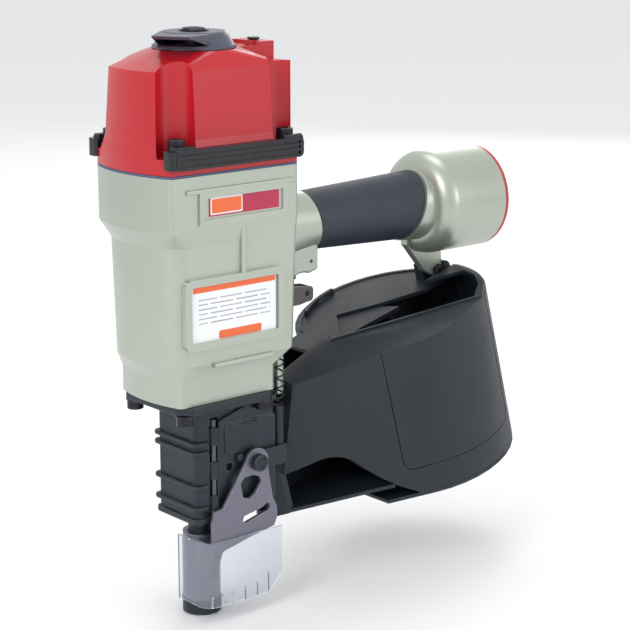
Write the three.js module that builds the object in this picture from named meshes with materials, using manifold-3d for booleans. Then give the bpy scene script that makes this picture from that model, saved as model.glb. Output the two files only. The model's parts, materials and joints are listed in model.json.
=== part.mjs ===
// Pneumatic coil nailer, in millimetres, +Z up.
// The parts are laid out round the driver axis: X = 0, Y = 0, with Z = 0 at the tip of the contact
// foot, the handle running toward +X and the loading side facing -Y. The whole tool is then moved
// so that its origin lies at the middle of the hand grip.
import * as THREE from 'three';
import { mergeVertices } from 'three/addons/utils/BufferGeometryUtils.js';
import { ConvexGeometry } from 'three/addons/geometries/ConvexGeometry.js';
import Module from 'manifold-3d';

const wasm = await Module();
wasm.setup();

// Fits
const gap = 0.3; // between pieces that rest on each other
const runningFit = 0.5; // between pieces that slide or turn in each other
const through = 1; // how far a cut runs past a face

// Body casting: barrel, head block and foot flange
const flangeLevel = 147; // foot of the casting above the tip
const flangeHeight = 21;
const barrelHeight = 78;
const slopeHeight = 10; // slope between the barrel and the head block
const headHeight = 33;
const headFront = 46.3;
const headRear = 50.6;
const headHalf = 38.5;
const frontBulge = 8; // how far the rounded front stands out at its middle
const barrelFront = 40;
const barrelHalf = 36.8;
const flangeFront = 36.7;
const flangeRear = 37.3;
const flangeSide = 10.5; // how far the flange stands out past the nose's sides

// Cylinder and driver
const sleeveBore = 57;
const sleeveWall = 2.5;
const castingWall = 4;
const bumperHeight = 18;
const pistonHeight = 20;
const driverStroke = 92;
const driverDiameter = 7.5;

// Cap
const gasketThickness = 1;
const capWallHeight = 59.4;
const capCrown = 10;
const capInset = 4.5; // how far the cap's walls lean in at the rim
const ledgeHeight = 9.5; // ledges under the corner screws
const channelRadius = 12;
const deflectorRadius = 25.5;
const deflectorHeight = 9.7;
const nozzleReach = 38;
const nozzleMouth = 24; // width of the exhaust nozzle's mouth
const nozzleSweepRadius = Math.hypot(nozzleReach, nozzleMouth / 2) + 0.8;

// Fasteners
const capScrew = { thread: 6, head: 10.4, headHeight: 7.5, length: 38 };
const plateBolt = { thread: 6, head: 10.4, headHeight: 7, length: 20 };
const screwInsetEnd = 7.7; // cap screw from the end faces of the head block
const screwInsetSide = 5.2;

// Handle and air chamber
const handleLevel = 244;
const handleLength = 131; // from the rear of the head block to the chamber's shoulder
const handleHeight = 30;
const handleWidth = 30;
const gripHeight = [38, 46.5]; // at the front and at the rear
const gripWidth = [37, 41];
const gripStart = 35; // from the head block to the grip
const gripLength = 88;
const gripSlant = 7;
const drumRadius = 35;
const drumLength = 43;
const drumShoulder = 12;
const drumWall = 5;
const ringThickness = 2.6;
const plugDiameter = 20;
const plugLength = 22;

// Trigger
const triggerPinSpot = [59, 219];
const triggerLength = 26;
const triggerWidth = 12;
const triggerWall = 2.2;
const stemSpot = 76;
const stemDiameter = 5;
const bossHalf = 14;
const bossFoot = 214;
const stripRear = 58;
const stripFoot = 136;

// Nose
const plateThickness = 5;
const noseFront = 18;
const noseRear = 45;
const noseHalf = 20.5;
const noseFoot = 65.5;
const channelDiameter = 9.5;
const ribDepth = 2.4;
const ribHeight = 3;
const coverThickness = 6;
const noseTipLevel = 12.5;
const noseTipDiameter = 16.5;
const footWall = 3;
const footTravel = 11;
const bracketThickness = 2.5;
const bracketBolt = { thread: 6, head: 11, headHeight: 4, spot: [29, 98] };
const guardThickness = 1.6;

// Magazine, in a frame of its own that leans back by magazineTilt
const magazineTilt = 15; // degrees
const magazineSpot = [188, -3, 69.5]; // middle of the magazine's floor
const magazineRadius = 66;
const magazineHeight = 109;
const magazineWall = 2.5;
const neckReach = 116;
const neckMouth = 20; // far face of the neck from the magazine's middle
const neckFloor = 10.5; // floor of the neck above the canister's
const shoulderHeight = 9;
const shoulderInset = 8;
const trayLevel = 30;

const round = 24; // sides of a large round
const fine = 12; // sides of a small round

// Levels and places that follow from the sizes above
const flangeHalf = noseHalf + flangeSide;
const flangeTop = flangeLevel + flangeHeight;
const barrelTop = flangeTop + barrelHeight;
const headFoot = barrelTop + slopeHeight;
const headTop = headFoot + headHeight;
const capFoot = headTop + gasketThickness + 2 * gap;
const ledgeTop = capFoot + ledgeHeight;
const capRim = capFoot + capWallHeight;
const capTop = capRim + capCrown;
const sleeveRadius = sleeveBore / 2 + sleeveWall;
const boreRadius = sleeveRadius + runningFit;
const plateTop = flangeLevel - gap;
const plateFoot = plateTop - plateThickness;
const noseTop = plateFoot - gap;
const screwXs = [-(headFront - screwInsetEnd), headRear - screwInsetEnd];
const screwY = headHalf - screwInsetSide;
const drumFront = headRear + handleLength + drumShoulder - gap;
const drumRear = drumFront + drumLength;
const gripMiddle = headRear + gripStart + gripLength / 2;

// ---- solids ------------------------------------------------------------------------------------

function solid(geometry) {
  const bare = geometry.index ? geometry.toNonIndexed() : geometry.clone();
  bare.deleteAttribute('normal');
  bare.deleteAttribute('uv');
  const merged = mergeVertices(bare, 1e-4);
  return new wasm.Manifold(new wasm.Mesh({
    numProp: 3,
    vertProperties: new Float32Array(merged.attributes.position.array),
    triVerts: new Uint32Array(merged.index.array),
  }));
}

function join(first, ...others) {
  return others.reduce((sum, piece) => sum.add(piece), first);
}

function cut(first, ...others) {
  return others.reduce((rest, piece) => rest.subtract(piece), first);
}

function toGeometry(shape) {
  const mesh = shape.getMesh();
  const geometry = new THREE.BufferGeometry();
  geometry.setAttribute('position', new THREE.BufferAttribute(new Float32Array(mesh.vertProperties), 3));
  geometry.setIndex(new THREE.BufferAttribute(new Uint32Array(mesh.triVerts), 1));
  geometry.computeVertexNormals();
  return geometry;
}

function box(x, y, z) {
  const geometry = new THREE.BoxGeometry(x[1] - x[0], y[1] - y[0], z[1] - z[0]);
  geometry.translate((x[0] + x[1]) / 2, (y[0] + y[1]) / 2, (z[0] + z[1]) / 2);
  return solid(geometry);
}

// A cylinder along Z, Y or X between two places on that axis.
function rod(axis, radius, from, to, at = [0, 0], sides = fine) {
  const geometry = new THREE.CylinderGeometry(radius, radius, to - from, sides);
  const middle = (from + to) / 2;
  if (axis === 'z') {
    geometry.rotateX(Math.PI / 2);
    geometry.translate(at[0], at[1], middle);
  } else if (axis === 'y') {
    geometry.translate(at[0], middle, at[1]);
  } else {
    geometry.rotateZ(Math.PI / 2);
    geometry.translate(middle, at[0], at[1]);
  }
  return solid(geometry);
}

function polygon(points) {
  return new THREE.Shape(points.map(([x, y]) => new THREE.Vector2(x, y)));
}

// An outline in plan, raised from one level to another.
function slab(points, from, to) {
  const geometry = new THREE.ExtrudeGeometry(polygon(points), { depth: to - from, bevelEnabled: false });
  geometry.translate(0, 0, from);
  return solid(geometry);
}

// An outline seen from the side (X, Z), given a width along Y.
function sidePlate(points, from, to) {
  const geometry = new THREE.ExtrudeGeometry(polygon(points), { depth: to - from, bevelEnabled: false });
  geometry.rotateX(Math.PI / 2);
  geometry.translate(0, to, 0);
  return solid(geometry);
}

// The straight-sided solid between two convex outlines at two levels.
function frustum(low, from, high, to) {
  const points = low.map(([x, y]) => new THREE.Vector3(x, y, from));
  points.push(...high.map(([x, y]) => new THREE.Vector3(x, y, to)));
  return solid(new ConvexGeometry(points));
}

// A turned solid about Z from a profile of [radius, height] pairs.
function turned(profile, sides = round) {
  const points = profile.map(([r, z]) => new THREE.Vector2(r, z));
  const geometry = new THREE.LatheGeometry(points, sides);
  geometry.rotateX(Math.PI / 2);
  return solid(geometry);
}

// A turned solid about the handle's axis, from [radius, x] pairs.
function turnedAlongHandle(profile) {
  const points = profile.map(([r, x]) => new THREE.Vector2(r, x));
  const geometry = new THREE.LatheGeometry(points, round);
  geometry.rotateZ(-Math.PI / 2);
  geometry.translate(0, 0, handleLevel);
  return solid(geometry);
}

function circle(radius, sides = round, at = [0, 0]) {
  const turn = (i) => (2 * Math.PI * i) / sides;
  return Array.from({ length: sides }, (_, i) => [
    at[0] + radius * Math.cos(turn(i)),
    at[1] + radius * Math.sin(turn(i)),
  ]);
}

function arcPoints(radius, at, fromDegrees, toDegrees, steps) {
  return Array.from({ length: steps + 1 }, (_, i) => {
    const turn = THREE.MathUtils.degToRad(fromDegrees + ((toDegrees - fromDegrees) * i) / steps);
    return [at[0] + radius * Math.cos(turn), at[1] + radius * Math.sin(turn)];
  });
}

// Outline of a block with square rear corners and a front that bulges as a shallow arc.
function blockOutline(front, rear, half, bulge, corner = 4, inset = 0) {
  const x = front - inset;
  const y = half - inset;
  const back = rear - inset;
  const points = [
    ...arcPoints(corner, [back - corner, y - corner], 90, 0, 2),
    ...arcPoints(corner, [back - corner, corner - y], 0, -90, 2),
    [corner - x, -y],
  ];
  const steps = 8;
  for (let i = 0; i <= steps; i += 1) {
    const along = -1 + (2 * i) / steps;
    points.push([-x - bulge * (1 - along * along), along * (y - corner * 0.7)]);
  }
  points.push([corner - x, y]);
  return points.reverse();
}

function ellipseAlongHandle(x, height, width, sides = 20, level = handleLevel) {
  return Array.from({ length: sides }, (_, i) => {
    const turn = (2 * Math.PI * i) / sides;
    return new THREE.Vector3(x, (width / 2) * Math.cos(turn), level + (height / 2) * Math.sin(turn));
  });
}

function hull(points) {
  return solid(new ConvexGeometry(points));
}

// ---- nodes -------------------------------------------------------------------------------------

const nailGun = new THREE.Group();
const tool = new THREE.Group();
tool.position.set(-gripMiddle, 0, -handleLevel);
nailGun.add(tool);

const magazine = new THREE.Group();
magazine.position.set(...magazineSpot);
magazine.rotation.y = -THREE.MathUtils.degToRad(magazineTilt);
tool.add(magazine);

const materials = {
  castAlloy: { color: 0xb9c2b5, roughness: 0.42, metalness: 0.35 },
  redPaint: { color: 0xc01f2c, roughness: 0.3, metalness: 0 },
  blackCasting: { color: 0x23282f, roughness: 0.5, metalness: 0.3 },
  darkSteel: { color: 0x2b2d33, roughness: 0.4, metalness: 0.8 },
  steel: { color: 0x8c8e99, roughness: 0.35, metalness: 0.9 },
  rubber: { color: 0x2f3137, roughness: 0.75, metalness: 0 },
  gripRubber: { color: 0x31363f, roughness: 0.85, metalness: 0 },
  magazinePlastic: { color: 0x1c2229, roughness: 0.6, metalness: 0 },
  greyPlastic: { color: 0x50525a, roughness: 0.6, metalness: 0 },
  clearGuard: { color: 0xc3d0d8, roughness: 0.15, metalness: 0 },
  gasketBlue: { color: 0x5a6b86, roughness: 0.7, metalness: 0 },
  brass: { color: 0xb08b45, roughness: 0.35, metalness: 0.9 },
  labelPaper: { color: 0xe9e7df, roughness: 0.5, metalness: 0 },
};

function node(name, material, shape, parent = tool) {
  const mesh = new THREE.Mesh(toGeometry(shape), new THREE.MeshStandardMaterial(materials[material]));
  mesh.name = name;
  parent.add(mesh);
  return mesh;
}

// ---- body --------------------------------------------------------------------------------------

const headOutline = (inset = 0) => blockOutline(headFront, headRear, headHalf, frontBulge, 4, inset);
const barrelOutline = (inset = 0) => blockOutline(barrelFront, headRear, barrelHalf, 10, 9, inset);
const flangeOutline = () => blockOutline(flangeFront, flangeRear, flangeHalf, 5, 3);

function forEachCapScrew(make) {
  let index = 1;
  for (const x of screwXs) {
    for (const y of [-screwY, screwY]) {
      make(x, y, index);
      index += 1;
    }
  }
}

const boltXs = [-(flangeFront - 6.2), flangeRear - 6.8];
const boltY = flangeHalf - 4.9;

function forEachPlateBolt(make) {
  let index = 1;
  for (const x of boltXs) {
    for (const y of [-boltY, boltY]) {
      make(x, y, index);
      index += 1;
    }
  }
}

// Everything on one side of a plane that crosses the handle at x and leans by the given angle.
function beyondPlane(x, degrees, side) {
  const reach = 160;
  const geometry = new THREE.BoxGeometry(reach, reach, reach);
  geometry.translate((side * reach) / 2, 0, 0);
  geometry.rotateY(THREE.MathUtils.degToRad(degrees));
  geometry.translate(x, 0, handleLevel);
  return solid(geometry);
}

const gripFrontX = headRear + gripStart;
const gripRearX = gripFrontX + gripLength;
const gripFrontLean = -9; // degrees
const gripRearLean = 15;
const flangeFloor = flangeLevel + 4;
const bumperRadius = 23.5;
const bumperTop = flangeFloor + gap + bumperHeight;
const sleeveFoot = flangeTop + castingWall;

// The air chamber behind the grip, or the space that it takes with some room round it.
function drumShape(room) {
  const centre = [drumRadius - drumShoulder, drumFront];
  const shoulder = arcPoints(drumShoulder + room, centre, 0, 90, 6).reverse();
  return turnedAlongHandle([
    [0, drumFront - drumShoulder - room],
    ...shoulder.map(([r, x]) => [r, 2 * drumFront - x]),
    [drumRadius + room, drumRear],
    [0, drumRear],
  ]);
}

function collarShape(room) {
  return hull([
    ...ellipseAlongHandle(gripRearX - 12, gripHeight[1] + 2 * room, gripWidth[1] + 2 * room),
    ...ellipseAlongHandle(drumFront, gripHeight[1] + 4 + 2 * room, gripWidth[1] + 8 + 2 * room),
  ]);
}

// The casting's shape behind the head block: neck, grip core, collar and air chamber.
function handleShape() {
  const neck = hull([
    ...ellipseAlongHandle(headRear - 6, gripHeight[0] + 12, gripWidth[0], 20, handleLevel - 3),
    ...ellipseAlongHandle(gripFrontX + 6, gripHeight[0], gripWidth[0]),
  ]);
  const core = hull([
    ...ellipseAlongHandle(headRear - 8, handleHeight, handleWidth),
    ...ellipseAlongHandle(drumFront, handleHeight, handleWidth),
  ]);
  return join(
    core,
    cut(neck, beyondPlane(gripFrontX, gripFrontLean, 1)),
    cut(collarShape(0), beyondPlane(gripRearX, gripRearLean, -1)),
    drumShape(0),
  );
}

// The cheeks that hold the trigger and valve, and the guide strip down to the nose.
function triggerBoss() {
  const bossRear = stemSpot + valveRadius + 2.6;
  const hollow = 15; // radius of the finger clearance
  const outline = [
    [headRear - 4, handleLevel],
    [bossRear, handleLevel - 14],
    [bossRear, bossFoot],
    ...arcPoints(hollow, [stripRear + hollow + 1, bossFoot - hollow - 1], 70, 180, 7),
    [stripRear, bossFoot - hollow - 10],
    [stripRear, stripFoot],
    [headRear + 1.4, stripFoot],
    [headRear + 1.4, flangeTop],
    [headRear - 4, flangeTop],
  ];
  return sidePlate(outline, -bossHalf, bossHalf);
}

// The slot for the trigger and the groove for the contact arm.
function triggerSlots() {
  const slotHalf = triggerWidth / 2 + runningFit;
  const grooveHalf = 5.5;
  const slotFront = headRear + 3;
  return join(
    box([slotFront, stemSpot - 4], [-slotHalf, slotHalf], [bossFoot - 40, triggerPinSpot[1] + 7]),
    box([slotFront, stripRear + through], [-grooveHalf, grooveHalf], [stripFoot, bossFoot - 10]),
    box([headRear + 0.5, stripRear + through], [-grooveHalf, grooveHalf], [stripFoot - through, flangeTop - 8]),
  );
}

function bodyCasting() {
  const head = frustum(headOutline(), headFoot, headOutline(), headTop);
  const slope = frustum(barrelOutline(), barrelTop, headOutline(), headFoot);
  const barrel = frustum(barrelOutline(1.5), flangeTop, barrelOutline(), barrelTop);
  const flange = frustum(flangeOutline(), flangeLevel, flangeOutline(), flangeTop);
  const nameFrame = box([-27, 40], [-headHalf - 1.2, 0], [headFoot + 4, headFoot + 24]);
  const labelFrame = box([-37, 38], [-barrelHalf - 1.6, 0], [flangeTop + 16, barrelTop - 19]);
  const chamber = rod('z', headHalf - castingWall - 1, headFoot, headTop + through, [0, 0], round);
  const bore = rod('z', boreRadius, sleeveFoot - gap, headFoot + through, [0, 0], round);
  const bumperBore = rod('z', bumperRadius + gap, flangeFloor, sleeveFoot, [0, 0], round);
  const driverHole = rod('z', driverDiameter / 2 + 1.5, flangeLevel - through, flangeFloor + through);
  const airWay = rod('x', handleHeight / 2 - castingWall, headRear - 20, drumRear - 5, [0, handleLevel]);
  const airChamber = rod('x', drumRadius - drumWall, drumFront + 4, drumRear + through, [0, handleLevel], round);
  const namePocket = box([-22, 36], [-headHalf - 2, -headHalf + 0.6], [headFoot + 6.5, headFoot + 22]);
  const labelPocket = box([-31.5, 32], [-barrelHalf - 2, -barrelHalf + 0.4], [flangeTop + 18, barrelTop - 21.5]);
  const valveBore = rod('z', valveRadius + gap, 190, valveTop + gap, [stemSpot, 0]);
  let shape = join(head, slope, barrel, flange, handleShape(), triggerBoss(), nameFrame, labelFrame);
  shape = cut(
    shape, chamber, bore, bumperBore, driverHole, airWay, airChamber, namePocket, labelPocket, valveBore,
    triggerSlots(),
    rod('y', triggerPinRadius + gap, -bossHalf - through, bossHalf + through, triggerPinSpot),
  );
  forEachCapScrew((x, y) => {
    shape = cut(shape, rod('z', capScrew.thread / 2 + gap, headTop - 31, headTop + through, [x, y], 12));
  });
  forEachPlateBolt((x, y) => {
    shape = cut(shape, rod('z', plateBolt.thread / 2 + gap, flangeLevel - through, flangeLevel + 15, [x, y], 12));
  });
  node('body_casting', 'castAlloy', shape);
}

// ---- cylinder, piston and head valve -------------------------------------------------------------

const triggerPinRadius = 2;
const valveRadius = 8;
const valveTop = 235;
const sleeveTop = headTop - gap;
const pistonTop = sleeveTop - 4;
const pistonFoot = pistonTop - pistonHeight;
const ringHeight = 3;
const ringDepth = 2;

function cylinderParts() {
  const inner = sleeveBore / 2;
  node('cylinder_sleeve', 'steel', cut(
    rod('z', sleeveRadius, sleeveFoot, sleeveTop, [0, 0], round),
    rod('z', inner, sleeveFoot - through, sleeveTop + through, [0, 0], round),
  ));
  node('piston_bumper', 'rubber', turned([
    [driverDiameter / 2 + 1.5, flangeFloor + gap],
    [bumperRadius, flangeFloor + gap],
    [bumperRadius, bumperTop - 6],
    [bumperRadius - 5, bumperTop],
    [driverDiameter / 2 + 1.5, bumperTop],
    [driverDiameter / 2 + 1.5, flangeFloor + gap],
  ]));
  const outer = inner - runningFit;
  const groove = pistonFoot + 6;
  const bladeSeat = driverDiameter / 2 + gap;
  node('piston', 'steel', turned([
    [0, pistonTop],
    [0, pistonFoot + 12],
    [bladeSeat, pistonFoot + 12],
    [bladeSeat, pistonFoot],
    [outer - 2, pistonFoot],
    [outer, pistonFoot + 2],
    [outer, groove],
    [outer - ringDepth - gap, groove],
    [outer - ringDepth - gap, groove + ringHeight + 2 * gap],
    [outer, groove + ringHeight + 2 * gap],
    [outer, pistonTop],
    [0, pistonTop],
  ]));
  node('piston_ring', 'rubber', cut(
    rod('z', outer + 0.1, groove + gap, groove + gap + ringHeight, [0, 0], round),
    rod('z', outer - ringDepth, groove, groove + 2 * gap + ringHeight, [0, 0], round),
  ));
  const bladeFoot = noseTipLevel + driverStroke;
  node('driver_blade', 'steel', rod('z', driverDiameter / 2, bladeFoot, pistonFoot + 12 - gap));
}

const cavityRadius = 30;
const cavityTop = capFoot + 47;
const headValveHeight = 24;

function headValveParts() {
  const outer = cavityRadius - runningFit;
  const foot = headTop + gap;
  const skirt = foot + headValveHeight;
  const exhaustStem = 13;
  node('head_valve', 'greyPlastic', turned([
    [sleeveBore / 2 - 9, foot],
    [outer, foot],
    [outer, skirt],
    [outer - 3, skirt],
    [outer - 3, foot + 7],
    [exhaustStem, foot + 7],
    [exhaustStem, skirt],
    [exhaustStem - 3, skirt],
    [exhaustStem - 3, foot + 4],
    [sleeveBore / 2 - 9, foot + 4],
    [sleeveBore / 2 - 9, foot],
  ]));
  const wire = 2;
  const turns = 3;
  const coilFoot = foot + 7 + gap + wire / 2;
  const coilTop = cavityTop - gap - wire / 2;
  node('head_valve_spring', 'steel', helix(19, wire, turns, coilFoot, coilTop, [0, 0]));
}

// A wire wound round an upright axis.
function helix(radius, wire, turns, foot, top, at, sides = 5) {
  const path = new THREE.Curve();
  path.getPoint = (t) => {
    const turn = 2 * Math.PI * turns * t;
    const x = at[0] + radius * Math.cos(turn);
    const y = at[1] + radius * Math.sin(turn);
    return new THREE.Vector3(x, y, foot + (top - foot) * t);
  };
  const section = polygon(circle(wire / 2, sides));
  return solid(new THREE.ExtrudeGeometry(section, { steps: turns * 8, extrudePath: path }));
}

// ---- cap ---------------------------------------------------------------------------------------

function capParts() {
  const gasketFoot = headTop + gap;
  let gasket = cut(
    frustum(headOutline(), gasketFoot, headOutline(), gasketFoot + gasketThickness),
    rod('z', headHalf - castingWall - 1, gasketFoot - through, gasketFoot + 2 * through, [0, 0], round),
  );
  const flare = capFoot + ledgeHeight + 10;
  const seat = circle(deflectorRadius + 1.5);
  let cap = join(
    frustum(headOutline(), capFoot, headOutline(), ledgeTop),
    frustum(headOutline(), ledgeTop, headOutline(capInset / 2), flare),
    frustum(headOutline(capInset / 2), flare, headOutline(capInset), capRim),
    frustum(headOutline(capInset), capRim, seat, capTop),
    box([20, headRear + 0.6], [-13, 13], [capRim - 14, capTop + 2]),
    box([20, headRear + 2.4], [-27, 27], [ledgeTop - 2, capRim + 1]),
  );
  const cavity = rod('z', cavityRadius, capFoot - through, cavityTop, [0, 0], round);
  const exhaust = rod('z', 9, cavityTop - through, capTop + through);
  const plugHole = rod('z', plugHoleRadius, capTop - 8, capTop + 3, plugSpot);
  const nozzleSweep = rod('z', nozzleSweepRadius, capTop, capTop + 10, [0, 0], round);
  cap = cut(cap, cavity, exhaust, plugHole, nozzleSweep);
  forEachCapScrew((x, y) => {
    const shank = rod('z', capScrew.thread / 2 + gap, headTop, ledgeTop + 2, [x, y], 12);
    gasket = cut(gasket, shank);
    cap = cut(cap, shank, rod('z', channelRadius, ledgeTop, capTop + 5, [x, y]));
  });
  node('cap_gasket', 'gasketBlue', gasket);
  node('cylinder_cap', 'redPaint', cap);
  node('cap_plug', 'rubber', join(
    rod('z', plugHoleRadius - gap, capTop - 5, capTop + 3, plugSpot, 16),
    rod('z', plugHoleRadius + 1.3, capTop + 2.3, capTop + 3.8, plugSpot, 16),
  ));
}

const plugHoleRadius = 2.6;
const plugSpot = [headRear - 5, 0];
const eyeletThickness = 3;
const eyeletFoot = ledgeTop + gap;

function bumperAndScrews() {
  const barDepth = 4.6;
  for (const side of [-1, 1]) {
    const innerFace = headHalf + gap;
    const bar = slab([
      [screwXs[0] - 7, side * innerFace],
      [screwXs[0] - 5, side * (innerFace + barDepth)],
      [screwXs[1] + 5, side * (innerFace + barDepth)],
      [screwXs[1] + 7, side * innerFace],
    ], ledgeTop - 6, ledgeTop + 6);
    let shape = bar;
    for (const x of screwXs) {
      const foot = eyeletFoot;
      const spot = [x, side * screwY];
      const toBar = [side * screwY, side * (innerFace + 1)].sort((a, b) => a - b);
      shape = join(
        shape,
        rod('z', 7, foot, foot + eyeletThickness, spot),
        box([x - 7, x + 7], toBar, [foot, foot + eyeletThickness]),
      );
      shape = cut(shape, rod('z', capScrew.thread / 2 + gap, foot - through, foot + 5, spot, 12));
      shape = cut(shape, rod('z', capScrew.head / 2 + gap, foot + eyeletThickness, foot + 20, spot));
    }
    node(side < 0 ? 'side_bumper_left' : 'side_bumper_right', 'rubber', shape);
  }
  forEachCapScrew((x, y, index) => {
    const seat = eyeletFoot + eyeletThickness + gap;
    node(`cap_screw_${index}`, 'darkSteel', cut(
      join(
        rod('z', capScrew.head / 2, seat, seat + capScrew.headHeight, [x, y]),
        rod('z', capScrew.thread / 2, seat - capScrew.length, seat + through, [x, y], 12),
      ),
      rod('z', 2.9, seat + 4, seat + capScrew.headHeight + through, [x, y], 6),
    ));
  });
}

const deflectorFoot = capTop + gap;
const nozzleHeading = 212; // degrees in plan, toward the front and the loading side

function deflectorParts() {
  const top = deflectorFoot + deflectorHeight;
  const wall = 2;
  const heading = THREE.MathUtils.degToRad(nozzleHeading);
  const facing = (points) => points.map(([along, across, z]) => new THREE.Vector3(
    along * Math.cos(heading) - across * Math.sin(heading),
    along * Math.sin(heading) + across * Math.cos(heading),
    z,
  ));
  const mouthHalf = nozzleMouth / 2;
  const rootHalf = 20;
  const foot = deflectorFoot + 1.5;
  const nozzle = hull(facing([
    [8, -rootHalf, foot], [8, rootHalf, foot], [8, -rootHalf, top], [8, rootHalf, top],
    [nozzleReach - 7, -mouthHalf, foot], [nozzleReach - 7, mouthHalf, foot],
    [nozzleReach, -mouthHalf, top - 0.5], [nozzleReach, mouthHalf, top - 0.5],
  ]));
  const passage = hull(facing([
    [6, -rootHalf + wall, foot + 1], [6, rootHalf - wall, foot + 1],
    [6, -rootHalf + wall, top - wall], [6, rootHalf - wall, top - wall],
    [nozzleReach + 1, -mouthHalf + wall, foot + 1], [nozzleReach + 1, mouthHalf - wall, foot + 1],
    [nozzleReach + 1, -mouthHalf + wall, top - wall], [nozzleReach + 1, mouthHalf - wall, top - wall],
  ]));
  const dome = turned([
    [0, deflectorFoot],
    [deflectorRadius, deflectorFoot],
    [deflectorRadius, deflectorFoot + 1.5],
    [deflectorRadius - 3.5, deflectorFoot + 7.5],
    [deflectorRadius - 6, top],
    [0, top],
  ]);
  const hollow = cut(
    rod('z', deflectorRadius - 5.5, deflectorFoot - through, top - wall, [0, 0], round),
    rod('z', 6, deflectorFoot - 2, top, [0, 0]),
  );
  node('exhaust_deflector', 'greyPlastic', cut(
    join(dome, nozzle),
    hollow,
    passage,
    rod('z', 3 + runningFit, deflectorFoot - through, top + through),
    rod('z', 9, top - 1, top + through, [0, 0], round),
  ));
  node('deflector_screw', 'darkSteel', cut(
    join(
      rod('z', 8, top - 1 + gap, top + 2, [0, 0], round),
      rod('z', 3, deflectorFoot + 0.5, top),
    ),
    rod('z', 4, top + 0.4, top + 3, [0, 0], 6),
  ));
}

// ---- handle and air inlet ------------------------------------------------------------------------

function handleParts() {
  const sleeve = hull([
    ...ellipseAlongHandle(gripFrontX - 8, gripHeight[0], gripWidth[0]),
    ...ellipseAlongHandle(gripRearX + 10, gripHeight[1], gripWidth[1]),
  ]);
  const coreSpace = hull([
    ...ellipseAlongHandle(gripFrontX - 20, handleHeight + 2 * gap, handleWidth + 2 * gap),
    ...ellipseAlongHandle(gripRearX + 30, handleHeight + 2 * gap, handleWidth + 2 * gap),
  ]);
  node('grip', 'gripRubber', cut(
    sleeve,
    coreSpace,
    beyondPlane(gripFrontX + gap, gripFrontLean, -1),
    beyondPlane(gripRearX - gap, gripRearLean, 1),
  ));
  const spigot = drumRadius - drumWall - gap;
  node('end_cap', 'redPaint', turnedAlongHandle([
    [plugDiameter / 2 + gap, drumRear - 8],
    [spigot, drumRear - 8],
    [spigot, drumRear + gap],
    [drumRadius, drumRear + gap],
    [drumRadius, drumRear + gap + ringThickness],
    [plugDiameter / 2 + gap, drumRear + gap + ringThickness],
    [plugDiameter / 2 + gap, drumRear - 8],
  ]));
  const face = drumRear + gap + ringThickness;
  const flange = plugDiameter / 2 + 3;
  node('air_plug', 'brass', turnedAlongHandle([
    [3.5, drumRear - 6],
    [plugDiameter / 2, drumRear - 6],
    [plugDiameter / 2, face + gap],
    [flange, face + gap],
    [flange, face + 6],
    [6.5, face + 6],
    [6.5, face + plugLength - 9],
    [5.2, face + plugLength - 8],
    [5.2, face + plugLength - 4],
    [6, face + plugLength - 3],
    [6, face + plugLength],
    [3.5, face + plugLength],
    [3.5, drumRear - 6],
  ]));
}

// ---- trigger and its valve -------------------------------------------------------------------------

const triggerFoot = 190;
const leverPinSpot = [triggerPinSpot[0] + triggerLength - 1, triggerFoot + 7];

function triggerParts() {
  const half = triggerWidth / 2;
  const rear = leverPinSpot[0] + 5.2;
  const innerHalf = half - triggerWall;
  const side = sidePlate([
    ...arcPoints(5, triggerPinSpot, 0, 180, 6),
    [triggerPinSpot[0] - 1, triggerFoot + 14],
    [triggerPinSpot[0] + 5, triggerFoot + 1],
    ...arcPoints(30, [triggerPinSpot[0] + 16, triggerFoot + 30], 250, 285, 4),
    [rear, triggerFoot + 3],
    [rear, triggerFoot + 11],
    [triggerPinSpot[0] + 8, triggerFoot + 13],
  ].reverse(), -half, half);
  node('trigger', 'greyPlastic', cut(
    side,
    box([40, triggerPinSpot[0] + 9], [-innerHalf, innerHalf], [triggerFoot - 3, triggerPinSpot[1] + 8]),
    box([60, rear - 1.5], [-innerHalf, innerHalf], [triggerFoot + 2.4, triggerPinSpot[1]]),
    rod('y', triggerPinRadius + runningFit, -half - through, half + through, triggerPinSpot),
    rod('y', leverPinRadius + gap, -half - through, half + through, leverPinSpot),
  ));
  node('trigger_pin', 'darkSteel', rod('y', triggerPinRadius, -bossHalf + 0.4, bossHalf - 0.4, triggerPinSpot));
  node('lever_pin', 'darkSteel', rod('y', leverPinRadius, -half - 0.4, half + 0.4, leverPinSpot, 12));
  const leverHalf = innerHalf - runningFit;
  node('contact_lever', 'steel', cut(
    sidePlate([
      [leverPinSpot[0] - leverLength, triggerFoot + 8.5],
      [leverPinSpot[0], leverPinSpot[1] - 3],
      ...arcPoints(3, leverPinSpot, -60, 60, 4),
      [leverPinSpot[0], leverPinSpot[1] + 3.4],
      [leverPinSpot[0] - leverLength, triggerFoot + 10.5],
    ], -leverHalf, leverHalf),
    rod('y', leverPinRadius + gap, -half, half, leverPinSpot, 12),
  ));
  const valveFoot = triggerPinSpot[1] - 7.5;
  node('valve_housing', 'brass', turnedAt([stemSpot, 0], [
    [stemDiameter / 2 + runningFit, valveFoot],
    [valveRadius, valveFoot],
    [valveRadius, valveTop],
    [stemDiameter / 2 + runningFit, valveTop],
    [stemDiameter / 2 + runningFit, valveFoot],
  ]));
  const stemFoot = triggerFoot + 16.5;
  node('valve_stem', 'steel', rod('z', stemDiameter / 2, stemFoot, valveTop - 6, [stemSpot, 0]));
}

const leverPinRadius = 1.5;
const leverLength = 20.3; // from the pin to the end the contact arm lifts

function turnedAt(spot, profile) {
  const points = profile.map(([r, z]) => new THREE.Vector2(r, z));
  const geometry = new THREE.LatheGeometry(points, fine);
  geometry.rotateX(Math.PI / 2);
  geometry.translate(spot[0], spot[1], 0);
  return solid(geometry);
}

// ---- nose ----------------------------------------------------------------------------------------

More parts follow.
